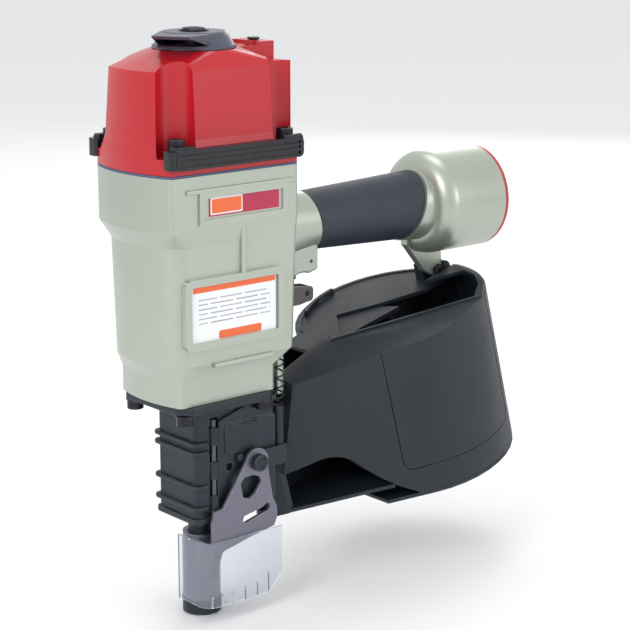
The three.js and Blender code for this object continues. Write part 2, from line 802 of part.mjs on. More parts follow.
const coverFront = -2;
const coverKnuckle = 3.2;
const coverPanel = 0.8; // how far the door's raised panel stands out
const coverPinSpot = [coverFront - 2.4, -noseHalf + 0.6];
const coverFoot = noseFoot + 6;
const coverTop = noseTop - 14;
const feedFloor = 88;
const feedTop = 104;

function nosePlate() {
  const ear = 9;
  const x = [-(flangeFront + 1), flangeRear + 1];
  const y = flangeHalf + 4;
  let plate = slab([
    [x[0] + ear, -y], [x[1] - ear, -y], [x[1], -y + ear], [x[1], y - ear],
    [x[1] - ear, y], [x[0] + ear, y], [x[0], y - ear], [x[0], -y + ear],
  ], plateFoot, plateTop);
  plate = cut(plate, rod('z', channelDiameter / 2, plateFoot - through, plateTop + through));
  forEachPlateBolt((px, py, index) => {
    plate = cut(plate, rod('z', plateBolt.thread / 2 + gap, plateFoot - through, plateTop + through, [px, py], 12));
    const seat = plateFoot - gap;
    node(`plate_bolt_${index}`, 'darkSteel', join(
      rod('z', plateBolt.head / 2, seat - plateBolt.headHeight, seat, [px, py], 6),
      rod('z', plateBolt.thread / 2, seat - through, seat + plateBolt.length, [px, py], 12),
    ));
  });
  node('nose_plate', 'blackCasting', plate);
}

function noseBody() {
  const half = noseHalf;
  let shape = box([-noseFront, noseRear], [-half, half], [noseFoot, noseTop]);
  for (const z of [noseFoot + 9, noseFoot + 23, noseFoot + 45, noseFoot + 51]) {
    const rib = box([-noseFront - ribDepth, coverFront - 6], [-half - ribDepth, half + ribDepth], [z, z + ribHeight]);
    shape = join(shape, rib);
  }
  shape = join(shape, rod('z', noseTipDiameter / 2, noseTipLevel, noseFoot + 5));
  node('nose_body', 'blackCasting', cut(
    shape,
    rod('z', channelDiameter / 2, noseTipLevel - through, noseTop + through),
    box([coverFront, noseRear + through], [-half - through, -half + coverThickness + gap], [coverFoot, coverTop]),
    box([0, noseRear + through], [-2.6, 2.6], [noseFoot + 8, coverTop - 4]),
    box([16, noseRear + through], [3, half + through], [feedFloor - 1, feedTop + 1]),
    box([16, noseRear + through], [2.5, 4], [feedFloor - 1, feedTop + 1]),
    rod('z', 2.8, coverFoot - through, coverTop + 6, coverPinSpot),
    rod('z', coverKnuckle + runningFit, coverFoot - through, coverTop + through, coverPinSpot),
  ));
}

function noseCover() {
  const outer = -noseHalf;
  const z = [coverFoot + gap, coverTop - gap];
  let shape = box([coverFront + gap, noseRear - gap], [outer, outer + coverThickness], z);
  const knuckles = 3;
  const pitch = (z[1] - z[0]) / (2 * knuckles - 1);
  for (let i = 0; i < knuckles; i += 1) {
    const foot = z[0] + 2 * i * pitch;
    shape = join(shape, rod('z', coverKnuckle, foot, foot + pitch, coverPinSpot, 16));
  }
  shape = join(shape, box([5, noseRear - 14], [outer - coverPanel, outer], [z[1] - 18, z[1] - 2]));
  node('nose_cover', 'blackCasting', cut(
    shape,
    rod('z', 2, z[0] - through, z[1] + through, coverPinSpot, 12),
    rod('y', 3, outer - 3, outer + coverThickness - 2, [6.5, (feedFloor + feedTop) / 2 + 5]),
  ));
  node('cover_pin', 'steel', rod('z', 1.7, z[0] - 0.5, coverTop + 5, coverPinSpot, 12));
}

// ---- contact foot and arm --------------------------------------------------------------------------

const bracketOuter = -(noseHalf + 5.9);
const bracketInner = bracketOuter + bracketThickness;
const footInner = noseTipDiameter / 2 + runningFit;
const footOuter = footInner + footWall;
const footTop = noseFoot - footTravel - 0.7;

function contactFoot() {
  const [ex, ez] = bracketBolt.spot;
  const plate = sidePlate([
    [-10.4, 30], [-7, 30], [-7, 36], [-3, 46], [-1, 47], [39, 54.5], [41.5, 67], [34.5, 94],
    ...arcPoints(9, [ex - 3.5, ez + 2], -10, 165, 7),
    [-2, 75], [-9, 74], [-10.4, 68],
  ], bracketOuter, bracketInner);
  const slot = hull([
    new THREE.Vector3(14, bracketOuter - 1, 64), new THREE.Vector3(14, bracketOuter + 5, 64),
    new THREE.Vector3(16, bracketOuter - 1, 67), new THREE.Vector3(16, bracketOuter + 5, 67),
    new THREE.Vector3(34, bracketOuter - 1, 68), new THREE.Vector3(34, bracketOuter + 5, 68),
    new THREE.Vector3(33, bracketOuter - 1, 71), new THREE.Vector3(33, bracketOuter + 5, 71),
  ]);
  node('contact_foot', 'steel', cut(
    join(
      rod('z', footOuter, 0, footTop, [0, 0], 32),
      box([-8.5, 8.5], [bracketInner - 0.5, -5], [31, footTop - 2]),
      plate,
    ),
    rod('z', footInner, -through, footTop + through, [0, 0], 32),
    slot,
    rod('y', 7, bracketOuter - 1, bracketInner + 1, [20, 84]),
    rod('y', bracketBolt.thread / 2 + gap, bracketOuter - 1, bracketInner + 1, [ex - 3.5, ez + 2], 12),
  ));
}

const armRodSpot = [noseRear + 4.4, -(noseHalf - 2)];
const armPlateX = [headRear + 3.6, headRear + 5.9];

function contactArm() {
  const [boltX, boltZ] = [bracketBolt.spot[0] - 3.5, bracketBolt.spot[1] + 2];
  const lugInner = bracketInner + gap + 2;
  const lug = sidePlate([
    [boltX, boltZ - 6], [armRodSpot[0] + 2, boltZ - 6], [armRodSpot[0] + 2, boltZ + 6], [boltX, boltZ + 6],
    ...arcPoints(6, [boltX, boltZ], 90, 270, 6).slice(1, -1),
  ], bracketInner + gap, lugInner);
  const rodFoot = boltZ - 8;
  const bridgeFoot = 124;
  const bridgeTop = 131;
  const armTop = triggerFoot - 6;
  const plateHalf = 5;
  node('contact_arm', 'darkSteel', cut(
    join(
      lug,
      rod('z', 3.2, rodFoot, bridgeTop, armRodSpot, 16),
      box([armRodSpot[0] - 2, armRodSpot[0] + 3], [lugInner - 0.5, armRodSpot[1]], [boltZ - 6, boltZ + 6]),
      box([headRear - 4, headRear - 0.2], [armRodSpot[1] - 1, plateHalf], [bridgeFoot, bridgeTop]),
      box([headRear - 4, armPlateX[1]], [-plateHalf, plateHalf], [bridgeFoot, bridgeTop]),
      box(armPlateX, [-plateHalf, plateHalf], [bridgeFoot, armTop]),
      box([armPlateX[0], armPlateX[1] + 7], [-3, 3], [armTop - 2.5, armTop]),
    ),
    rod('y', bracketBolt.thread / 2 + gap, bracketInner - 1, lugInner + 1, [boltX, boltZ], 12),
  ));
  const head = bracketOuter - gap;
  node('arm_bolt', 'darkSteel', join(
    rod('y', bracketBolt.head / 2, head - bracketBolt.headHeight, head, [boltX, boltZ]),
    rod('y', bracketBolt.thread / 2, head - through, lugInner, [boltX, boltZ], 12),
  ));
  const wire = 1.2;
  const seat = gap + wire / 2;
  node('contact_spring', 'steel', helix(3.4, wire, 5, bridgeTop + seat, flangeTop - seat, armRodSpot));
}

function noseGuard() {
  const foot = 11;
  const rear = 44;
  const corner = 8;
  const front = -17;
  const face = bracketOuter - gap - guardThickness;
  const centre = [front + corner, face + corner];
  const skirt = slab([
    [rear, face + guardThickness],
    ...arcPoints(corner - guardThickness, centre, 270, 180, 4),
    [front + guardThickness, 2],
    [front, 2],
    ...arcPoints(corner, centre, 180, 270, 4),
    [rear, face],
  ], foot, footTop);
  const trim = frustum(
    [[24, -40], [60, -40], [60, 40], [24, 40]], foot - 2,
    [[46, -40], [60, -40], [60, 40], [46, 40]], foot + 16,
  );
  node('nose_guard', 'clearGuard', cut(skirt, trim));
}

// ---- nail feeder -----------------------------------------------------------------------------------

const feedAxisY = noseHalf + 10;
const feedAxisZ = (feedFloor + feedTop) / 2;
const feedBore = 8;
const feedStroke = 9;

function feederParts() {
  const cylinderRear = 34;
  const half = feedBore + 3;
  const pistonX = [cylinderRear - 12, cylinderRear - 4];
  node('feed_cylinder', 'blackCasting', cut(
    box([pistonX[0] - feedStroke - 8, cylinderRear], [noseHalf + ribDepth + gap, feedAxisY + half + ribDepth],
      [feedAxisZ - half, feedAxisZ + half]),
    rod('x', feedBore, pistonX[0] - feedStroke - 2, cylinderRear + through, [feedAxisY + ribDepth, feedAxisZ]),
  ));
  const axis = [feedAxisY + ribDepth, feedAxisZ];
  const armX = [noseRear, noseRear + 5];
  const pawlPin = [armX[0] + 2.5, 6.5];
  node('feed_piston', 'steel', cut(
    join(
      rod('x', feedBore - runningFit, pistonX[0], pistonX[1], axis),
      rod('x', 3, pistonX[0], armX[1], axis, 16),
      box(armX, [pawlPin[1] - 3, axis[0] + 3], [feedFloor, feedTop]),
    ),
    box([armX[0] - 1, armX[1] + 1], [pawlPin[1] - 4, pawlPin[1] + 4], [feedFloor + 3.5, feedTop - 3.5]),
    rod('z', 1.8, feedFloor - 1, feedTop + 1, pawlPin, 12),
  ));
  node('pawl_pin', 'steel', rod('z', 1.5, feedFloor, feedTop, pawlPin, 12));
  node('feed_pawl', 'steel', cut(
    join(
      rod('z', 2.8, feedFloor + 4, feedTop - 4, pawlPin, 16),
      box([pawlPin[0] - 20, pawlPin[0]], [pawlPin[1] - 2, pawlPin[1] + 1], [feedFloor + 4, feedTop - 4]),
    ),
    rod('z', 1.8, feedFloor - 1, feedTop + 1, pawlPin, 12),
  ));
}

// ---- magazine --------------------------------------------------------------------------------------

const R = magazineRadius;
const neckNearY = 1.5;
const neckRunOn = 24; // the neck is laid out past its mouth and then cut off upright
const farJoint = 152; // degrees round the canister where the neck's far face meets it
const shoulderTop = magazineHeight + shoulderHeight;

// Plan of the magazine: a round canister with a neck that runs forward to the nose. The neck's near
// face is the tangent to the canister through the mouth's near edge.
function magazineOutline(inset) {
  const radius = R - inset;
  const mouth = new THREE.Vector2(-neckReach, -neckNearY);
  const tangentTurn = mouth.angle() + Math.acos(R / mouth.length());
  const normal = new THREE.Vector2(Math.cos(tangentTurn), Math.sin(tangentTurn));
  const along = new THREE.Vector2(normal.y, -normal.x);
  const near = mouth.clone().addScaledVector(along, neckRunOn).addScaledVector(normal, -inset);
  const start = THREE.MathUtils.radToDeg(tangentTurn) - 360;
  return [near.toArray(), ...arcPoints(radius, [0, 0], start, farJoint, 30), [near.x, neckMouth - inset]];
}

// What lies in front of the neck's upright mouth.
function aheadOfNeck() {
  const mouthX = stripRear + 1.5;
  const geometry = new THREE.BoxGeometry(200, 200, 400);
  geometry.translate(mouthX - 100 - magazineSpot[0], -magazineSpot[1], 0);
  geometry.rotateY(THREE.MathUtils.degToRad(magazineTilt));
  return solid(geometry);
}

const hingeSpot = [R + 4.5, 0];
const knuckleRadius = 3.8;
const knuckleLength = 24;
const hingeFoot = 14;

function knuckles(which) {
  const count = 3;
  const all = [];
  for (let i = 0; i < count; i += 1) {
    if ((i % 2 === 0) === (which === 'cover')) {
      const foot = hingeFoot + i * knuckleLength;
      all.push([foot + gap, foot + knuckleLength - gap]);
    }
  }
  return all;
}

function magazineShell(floor) {
  const wall = cut(
    slab(magazineOutline(0), floor, magazineHeight),
    slab(magazineOutline(magazineWall), floor - through, magazineHeight + through),
  );
  return cut(wall, aheadOfNeck());
}

function magazineCover() {
  const floorLevel = magazineWall + gap;
  const big = 400;
  const farSide = box([-big, big], [-gap, big], [-big, big]);
  const rim = R - shoulderInset;
  const shoulder = turned([
    [R - magazineWall, magazineHeight - 4],
    [R, magazineHeight - 4],
    [R, magazineHeight],
    [rim + magazineWall, shoulderTop],
    [rim, shoulderTop],
    [R - magazineWall, magazineHeight - 1],
    [R - magazineWall, magazineHeight - 4],
  ]);
  const window = sidePlate([
    [-140, floorLevel - 2], [-44, floorLevel - 2], [-56, 11], [-72, 25],
    ...arcPoints(24, [-94, 20], 45, 120, 5),
    [-140, 31],
  ], -80, 0);
  const neckSpace = box([-big, -R + 8.5], [-big, big], [-big, neckFloor + magazineWall + gap]);
  let shape = cut(join(magazineShell(floorLevel), shoulder), farSide, window, neckSpace, aheadOfNeck());
  for (const [from, to] of knuckles('cover')) {
    const lug = join(
      rod('z', knuckleRadius, from, to, hingeSpot),
      box([R - 1, hingeSpot[0]], [-knuckleRadius, -gap], [from, to]),
    );
    shape = join(shape, cut(lug, rod('z', R - 0.5, from - 1, to + 1, [0, 0], round)));
  }
  node('magazine_cover', 'magazinePlastic', cut(shape, rod('z', 2, hingeFoot - 1, 200, hingeSpot, 12)), magazine);
}

function magazineBack() {
  const big = 400;
  const nearSide = box([-big, big], [-big, gap], [magazineWall + 0.05, big]);
  const belowNeck = box([-big, -R + 2], [-big, big], [-big, neckFloor]);
  const floor = cut(slab(magazineOutline(0.6), 0, magazineWall), belowNeck, aheadOfNeck());
  const neckPlate = box([-big, -R + 8], [-big, big], [neckFloor, neckFloor + magazineWall]);
  const neckBase = cut(slab(magazineOutline(0.6), 1, magazineHeight - 5).intersect(neckPlate), aheadOfNeck());
  const roof = cut(
    slab(magazineOutline(0), magazineHeight - magazineWall, magazineHeight),
    aheadOfNeck(),
    box([-big, big], [-big, gap], [0, big]),
  );
  const wall = cut(magazineShell(0), nearSide, belowNeck);
  let shape = join(wall, floor, neckBase, roof, rod('z', postRadius, 1, magazineHeight - 10, [0, postRadius + 2]));
  shape = cut(shape, box([-big, -R - 6], [-big, big], [magazineHeight - 6, big]));
  for (const [from, to] of knuckles('back')) {
    const lug = join(
      rod('z', knuckleRadius, from, to, hingeSpot),
      box([R - 1, hingeSpot[0]], [gap, knuckleRadius], [from, to]),
    );
    shape = join(shape, cut(lug, rod('z', R - 0.5, from - 1, to + 1, [0, 0], round)));
  }
  const lugBlock = box([44, 62], [lugY[0], lugY[1]], [magazineHeight - 2, magazineHeight + 11]);
  shape = join(shape, lugBlock);
  node('magazine_back', 'magazinePlastic', cut(
    shape,
    rod('z', 2, hingeFoot - 1, 200, hingeSpot, 12),
    rod('y', hangerBoltRadius + gap, lugY[0] - 1, lugY[1] + 1, lugBoltSpot(), 12),
  ), magazine);
  node('magazine_pin', 'steel', rod('z', 1.7, hingeFoot, hingeFoot + 3 * knuckleLength, hingeSpot, 12), magazine);
}

const postRadius = 7;
const lugY = [12, 20];
const hangerBoltRadius = 2.5;
const lugBoltSpot = () => [52, magazineHeight + 6];

function magazineTray() {
  const edge = R - magazineWall - 4.5;
  node('magazine_tray', 'greyPlastic', cut(
    join(
      rod('z', edge, trayLevel, trayLevel + 2.5, [0, 0], round),
      rod('z', postRadius + 4, trayLevel, trayLevel + 18, [0, postRadius + 2]),
    ),
    rod('z', postRadius + runningFit, trayLevel - 1, trayLevel + 30, [0, postRadius + 2]),
  ), magazine);
}

// The hanger's bolt, on the lug at the top of the magazine, seen from the side of the tool.
function hangerBoltSpot() {
  const spot = new THREE.Vector3(...lugBoltSpot(), 0);
  const place = new THREE.Vector3(spot.x, 0, spot.y);
  place.applyAxisAngle(new THREE.Vector3(0, 1, 0), -THREE.MathUtils.degToRad(magazineTilt));
  return [place.x + magazineSpot[0], place.z + magazineSpot[2]];
}

function hangerParts() {
  const [boltX, boltZ] = hangerBoltSpot();
  const y = [lugY[0] - 6.5 + magazineSpot[1], lugY[0] - gap + magazineSpot[1]];
  const chamberFoot = handleLevel - drumRadius;
  const arm = sidePlate([
    [drumFront - 14, chamberFoot + 16], [drumFront + 12, chamberFoot + 10], [boltX + 3, chamberFoot + 2],
    ...arcPoints(5, [boltX, boltZ], 20, -110, 6),
    [boltX - 12, boltZ + 1], [drumFront - 14, chamberFoot + 6],
  ], ...y);
  node('magazine_hanger', 'castAlloy', cut(
    arm,
    drumShape(gap),
    collarShape(gap),
    rod('y', hangerBoltRadius + gap, y[0] - 1, y[1] + 1, [boltX, boltZ], 12),
  ));
  node('hanger_bolt', 'darkSteel', join(
    rod('y', 4.5, y[0] - gap - 3.5, y[0] - gap, [boltX, boltZ], 6),
    rod('y', hangerBoltRadius, y[0] - 1, y[1] + 8, [boltX, boltZ], 12),
  ));
}

// ---- plates ----------------------------------------------------------------------------------------

function plates() {
  node('name_plate', 'redPaint', box(
    [-21.6, 35.6], [-headHalf - 0.4, -headHalf + 0.3], [headFoot + 6.9, headFoot + 21.6]));
  node('spec_label', 'labelPaper', box(
    [-31.1, 31.6], [-barrelHalf - 0.5, -barrelHalf + 0.1], [flangeTop + 18.4, barrelTop - 21.9]));
}

bodyCasting();
cylinderParts();
headValveParts();
capParts();
bumperAndScrews();
deflectorParts();
handleParts();
triggerParts();
nosePlate();
noseBody();
noseCover();
contactFoot();
contactArm();
noseGuard();
feederParts();
magazineCover();
magazineBack();
magazineTray();
hangerParts();
plates();

export default nailGun;
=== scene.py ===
import json
import math

import bpy
from mathutils import Matrix, Vector

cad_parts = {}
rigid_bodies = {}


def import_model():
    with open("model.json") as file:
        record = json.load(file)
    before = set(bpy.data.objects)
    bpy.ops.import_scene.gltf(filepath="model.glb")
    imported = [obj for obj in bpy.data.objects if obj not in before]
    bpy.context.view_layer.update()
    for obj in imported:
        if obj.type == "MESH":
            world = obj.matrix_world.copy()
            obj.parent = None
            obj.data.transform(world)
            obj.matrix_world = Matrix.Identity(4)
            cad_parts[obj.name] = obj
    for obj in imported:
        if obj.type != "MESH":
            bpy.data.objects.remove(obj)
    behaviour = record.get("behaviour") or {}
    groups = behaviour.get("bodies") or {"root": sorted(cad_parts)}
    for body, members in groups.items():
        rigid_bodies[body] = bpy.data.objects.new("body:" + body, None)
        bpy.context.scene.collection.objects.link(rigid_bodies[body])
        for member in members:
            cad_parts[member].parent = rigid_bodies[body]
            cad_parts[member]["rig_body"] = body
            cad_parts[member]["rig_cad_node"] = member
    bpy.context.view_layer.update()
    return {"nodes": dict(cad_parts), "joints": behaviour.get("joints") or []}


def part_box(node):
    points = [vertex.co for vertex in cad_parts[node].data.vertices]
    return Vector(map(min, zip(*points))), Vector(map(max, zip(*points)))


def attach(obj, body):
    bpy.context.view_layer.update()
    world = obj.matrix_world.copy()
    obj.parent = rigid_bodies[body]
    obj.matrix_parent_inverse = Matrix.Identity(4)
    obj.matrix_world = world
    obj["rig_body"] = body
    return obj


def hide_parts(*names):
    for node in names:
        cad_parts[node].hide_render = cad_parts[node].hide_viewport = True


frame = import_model()
print("frame loaded")

mm = 0.001
bladeLow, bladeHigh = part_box("driver_blade")
driverAxis = (bladeLow + bladeHigh) / 2
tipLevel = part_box("contact_foot")[0].z


def spot(x, y, z):  # millimetres from the foot's tip, on the driver's axis, to the frame's metres
    return Vector((driverAxis.x + x * mm, driverAxis.y + y * mm, tipLevel + z * mm))


def reach(node, axis):  # where a node starts and ends along one axis, in those millimetres
    low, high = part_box(node)
    zero = spot(0, 0, 0)
    i = "xyz".index(axis)
    return (low[i] - zero[i]) / mm, (high[i] - zero[i]) / mm


# Studio: pale floor, soft light and the camera

studio = {
    "floor": (0.86, 0.87, 0.88),
    "sky": 0.9,
    "camera": (-0.8150, -0.9202, 0.2243),
    "aim": (-0.0080, 0.0308, -0.0740),
    "lens": 108.2,
    "lamps": {  # place, aim, size, power
        "keyLamp": ((-1.6, -0.55, 1.0), (0, 0, 0.0), 0.8, 13),
        "sideLamp": ((0.7, -1.8, 0.5), (0, 0, -0.05), 0.7, 6),
        "topLamp": ((0.2, 0.3, 1.6), (0, 0, 0), 0.9, 7),
        "backLamp": ((1.5, 1.2, 0.6), (0, 0, 0), 0.8, 6),
    },
}


def pickNone():
    if bpy.context.object and bpy.context.object.mode != "OBJECT":
        bpy.ops.object.mode_set(mode="OBJECT")
    bpy.ops.object.select_all(action="DESELECT")


def pick(piece):
    pickNone()
    piece.select_set(True)
    bpy.context.view_layer.objects.active = piece


def aimed(place, aim):
    return (Vector(aim) - Vector(place)).to_track_quat("-Z", "Y").to_euler()


def layStudio():
    scene = bpy.context.scene
    scene.view_settings.view_transform = "Standard"
    sky = bpy.data.worlds.new("studioSky")
    scene.world = sky
    sky.use_nodes = True
    sky.node_tree.nodes["Background"].inputs["Color"].default_value = (1, 1, 1, 1)
    sky.node_tree.nodes["Background"].inputs["Strength"].default_value = studio["sky"]
    for name, (place, aim, size, power) in studio["lamps"].items():
        pickNone()
        bpy.ops.object.light_add(type="AREA", location=place, rotation=aimed(place, aim))
        lamp = bpy.context.object
        lamp.name = name
        lamp.data.shape = "SQUARE"
        lamp.data.size = size
        lamp.data.energy = power
    pickNone()
    bpy.ops.object.camera_add(location=studio["camera"], rotation=aimed(studio["camera"], studio["aim"]))
    camera = bpy.context.object
    camera.name = "mainCamera"
    camera.data.lens = studio["lens"]
    camera.data.sensor_width = 36
    camera.data.clip_start = 0.05
    camera.data.clip_end = 50
    scene.camera = camera
    pickNone()
    bpy.ops.mesh.primitive_plane_add(size=14, location=(0, 0, tipLevel - 0.0004))
    floor = bpy.context.object
    floor.name = "studioFloor"
    return floor


# Ways of making and shaping a piece


def named(name):
    piece = bpy.context.object
    if piece.mode != "OBJECT":
        bpy.ops.object.mode_set(mode="OBJECT")
    bpy.ops.object.transform_apply(location=True, rotation=True, scale=True)
    piece.name = name
    piece.data.name = name
    return piece


def block(name, x, y, z):
    low, high = spot(x[0], y[0], z[0]), spot(x[1], y[1], z[1])
    pickNone()
    bpy.ops.mesh.primitive_cube_add(size=1, location=(low + high) / 2, scale=high - low)
    return named(name)


def rod(name, axis, radius, span, at, sides=48):
    along = {
        "x": lambda s: spot(s, *at),
        "y": lambda s: spot(at[0], s, at[1]),
        "z": lambda s: spot(*at, s),
    }[axis]
    low, high = along(span[0]), along(span[1])
    turn = {"x": (0, math.pi / 2, 0), "y": (math.pi / 2, 0, 0), "z": (0, 0, 0)}[axis]
    pickNone()
    bpy.ops.mesh.primitive_cylinder_add(
        vertices=sides, radius=radius * mm, depth=(high - low).length,
        location=(low + high) / 2, rotation=turn
    )
    return named(name)


def outward(piece):
    pick(piece)
    bpy.ops.object.mode_set(mode="EDIT")
    bpy.ops.mesh.select_all(action="SELECT")
    bpy.ops.mesh.normals_make_consistent(inside=False)
    bpy.ops.object.mode_set(mode="OBJECT")
    return piece


def plate(name, outline, span, across="z"):  # an outline given a thickness along z or y
    pickNone()
    bpy.ops.mesh.primitive_circle_add(vertices=len(outline), radius=mm, fill_type="NGON")
    piece = bpy.context.object
    for corner, (a, b) in zip(piece.data.vertices, outline):
        corner.co = spot(a, b, span[0]) if across == "z" else spot(a, span[0], b)
    rise = (span[1] - span[0]) * mm
    bpy.ops.object.mode_set(mode="EDIT")
    bpy.ops.mesh.select_all(action="SELECT")
    bpy.ops.mesh.extrude_region_move(
        TRANSFORM_OT_translate={"value": (0, 0, rise) if across == "z" else (0, rise, 0)}
    )
    bpy.ops.object.mode_set(mode="OBJECT")
    return outward(named(name))


def hull(name, points):  # the straight-sided solid round a set of points
    pickNone()
    bpy.ops.mesh.primitive_circle_add(vertices=len(points), radius=mm)
    piece = bpy.context.object
    for corner, point in zip(piece.data.vertices, points):
        corner.co = spot(*point)
    bpy.ops.object.mode_set(mode="EDIT")
    bpy.ops.mesh.select_all(action="SELECT")
    bpy.ops.mesh.convex_hull(face_threshold=0.01, shape_threshold=3)
    bpy.ops.mesh.select_all(action="SELECT")
    bpy.ops.mesh.dissolve_limited(angle_limit=0.01)
    bpy.ops.object.mode_set(mode="OBJECT")
    return outward(named(name))


def level(outline, z):
    return [(x, y, z) for x, y in outline]


def choose(piece, wanted):  # picks the faces whose middle (mm) and normal pass, and opens edit mode
    pick(piece)
    zero = spot(0, 0, 0)
    mesh = piece.data
    bpy.ops.object.mode_set(mode="EDIT")
    bpy.ops.mesh.select_mode(type="FACE")
    bpy.ops.mesh.select_all(action="DESELECT")
    bpy.ops.object.mode_set(mode="OBJECT")
    for face in mesh.polygons:
        face.select = wanted((face.center - zero) / mm, face.normal)
    bpy.ops.object.mode_set(mode="EDIT")


def chooseEdges(piece, wanted):  # the same for edges, by middle (mm) and direction
    pick(piece)
    zero = spot(0, 0, 0)
    mesh = piece.data
    bpy.ops.object.mode_set(mode="EDIT")
    bpy.ops.mesh.select_mode(type="EDGE")
    bpy.ops.mesh.select_all(action="DESELECT")
    bpy.ops.object.mode_set(mode="OBJECT")
    for edge in mesh.edges:
        a, b = (mesh.vertices[i].co for i in edge.vertices)
        edge.select = wanted(((a + b) / 2 - zero) / mm, (b - a).normalized())
    bpy.ops.object.mode_set(mode="EDIT")


def bevelChosen(width, steps=4):
    bpy.ops.mesh.bevel(offset=width * mm, segments=steps, affect="EDGES")
    bpy.ops.object.mode_set(mode="OBJECT")


def cutBehind(piece, at, normal):  # keeps what lies behind a plane
    pick(piece)
    bpy.ops.object.mode_set(mode="EDIT")
    bpy.ops.mesh.select_all(action="SELECT")
    bpy.ops.mesh.bisect(plane_co=spot(*at), plane_no=normal, use_fill=True, clear_outer=True)
    bpy.ops.object.mode_set(mode="OBJECT")
    return piece


def combine(piece, how, tools):
    for tool in tools:
        modifier = piece.modifiers.new("combine", "BOOLEAN")
        modifier.operation = how
        modifier.object = tool
        modifier.solver = "EXACT"
        pick(piece)
        bpy.ops.object.modifier_apply(modifier=modifier.name)
        bpy.data.objects.remove(tool)
    return piece


def weld(piece, *others):
    return combine(piece, "UNION", others)


def carve(piece, *tools):
    return combine(piece, "DIFFERENCE", tools)


def soften(piece, width, steps=2, angle=30):
    pick(piece)
    modifier = piece.modifiers.new("rounding", "BEVEL")
    modifier.width = width * mm
    modifier.segments = steps
    modifier.limit_method = "ANGLE"
    modifier.angle_limit = math.radians(angle)
    modifier.use_clamp_overlap = True
    bpy.ops.object.modifier_apply(modifier=modifier.name)
    return piece


def taken(node, name):  # a merged copy of a frame node, to be refined
    pick(frame["nodes"][node])
    bpy.ops.object.duplicate()
    piece = bpy.context.object
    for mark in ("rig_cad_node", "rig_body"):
        del piece[mark]
    piece.parent = None
    piece.name = name
    piece.data.name = name
    bpy.ops.object.mode_set(mode="EDIT")
    bpy.ops.mesh.select_all(action="SELECT")
    bpy.ops.mesh.remove_doubles(threshold=0.00001)
    bpy.ops.mesh.dissolve_limited(angle_limit=math.radians(0.5))
    bpy.ops.object.mode_set(mode="OBJECT")
    return piece


def finish(piece, finishName, body, nodes=(), smooth=32):
    pick(piece)
    bpy.ops.object.shade_smooth_by_angle(angle=math.radians(smooth))
    modifier = piece.modifiers.new("flats", "WEIGHTED_NORMAL")
    modifier.keep_sharp = True
    bpy.ops.object.modifier_apply(modifier=modifier.name)
    piece.data.materials.clear()
    piece.data.materials.append(finishes[finishName])
    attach(piece, body)
    if nodes:
        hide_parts(*nodes)
    return piece


def arc(radius, middle, start, end, steps):
    turns = [math.radians(start + (end - start) * i / steps) for i in range(steps + 1)]
    return [(middle[0] + radius * math.cos(t), middle[1] + radius * math.sin(t)) for t in turns]


def blockOutline(front, rear, half, bulge, corner, inset=0, rearCorner=4):
    # square at the rear, with a front that bulges as a shallow arc and rounded front corners
    half -= inset
    rear -= inset
    front += bulge - inset
    bigRadius = (half * half + bulge * bulge) / (2 * bulge)
    bigX = bigRadius - front
    cornerX = bigX - math.sqrt((bigRadius - corner) ** 2 - (half - corner) ** 2)
    lean = math.degrees(math.atan2(half - corner, cornerX - bigX))
    return (
        arc(rearCorner, (rear - rearCorner, rearCorner - half), -90, 0, 6)
        + arc(rearCorner, (rear - rearCorner, half - rearCorner), 0, 90, 6)
        + arc(corner, (cornerX, half - corner), 90, lean, 8)
        + arc(bigRadius, (bigX, 0), lean, 360 - lean, 24)[1:-1]
        + arc(corner, (cornerX, corner - half), 360 - lean, 270, 8)
    )


def ellipse(x, height, width, middle, sides=64):
    turns = [2 * math.pi * i / sides for i in range(sides)]
    return [(x, width / 2 * math.cos(t), middle + height / 2 * math.sin(t)) for t in turns]


def roundedBar(name, x, y, z, corner, axis="y"):  # a block whose edges along one axis are rounded
    piece = block(name, x, y, z)
    i = "xyz".index(axis)
    chooseEdges(piece, lambda middle, way: abs(way[i]) > 0.9)
    bevelChosen(corner, 5)
    return piece


# Finishes: node groups that several materials share


def groupOf(name, inputs, outputs):
    tree = bpy.data.node_groups.new(name, "ShaderNodeTree")
    for label, kind, value in inputs:
        socket = tree.interface.new_socket(name=label, in_out="INPUT", socket_type=kind)
        if value is not None:
            socket.default_value = value
    for label, kind in outputs:
        tree.interface.new_socket(name=label, in_out="OUTPUT", socket_type=kind)
    return tree, tree.nodes.new("NodeGroupInput"), tree.nodes.new("NodeGroupOutput")


def shaderNode(tree, kind, values=None, **settings):
    made = tree.nodes.new(kind)
    for key, value in settings.items():
        setattr(made, key, value)
    for key, value in (values or {}).items():
        if isinstance(value, bpy.types.NodeSocket):
            tree.links.new(value, made.inputs[key])
        else:
            made.inputs[key].default_value = value
    return made


def calc(tree, how, a, b=0.0, clamp=False):
    made = shaderNode(tree, "ShaderNodeMath", {0: a, 1: b}, operation=how, use_clamp=clamp)
    return made.outputs[0]


def makeGrainGroup():  # fine orange peel and broad cloudiness
    tree, given, out = groupOf(
        "paintGrain",
        [
            ("Vector", "NodeSocketVector", None),
            ("Scale", "NodeSocketFloat", 900.0),
            ("Cloud Scale", "NodeSocketFloat", 14.0),
        ],
        [("Height", "NodeSocketFloat"), ("Cloud", "NodeSocketFloat")],
    )
    peel = shaderNode(
        tree,
        "ShaderNodeTexNoise",
        {"Vector": given.outputs["Vector"], "Scale": given.outputs["Scale"], "Detail": 3.0},
    )
    cloud = shaderNode(
        tree,
        "ShaderNodeTexNoise",
        {"Vector": given.outputs["Vector"], "Scale": given.outputs["Cloud Scale"], "Detail": 5.0},
    )
    tree.links.new(peel.outputs["Fac"], out.inputs["Height"])
    tree.links.new(cloud.outputs["Fac"], out.inputs["Cloud"])
    return tree


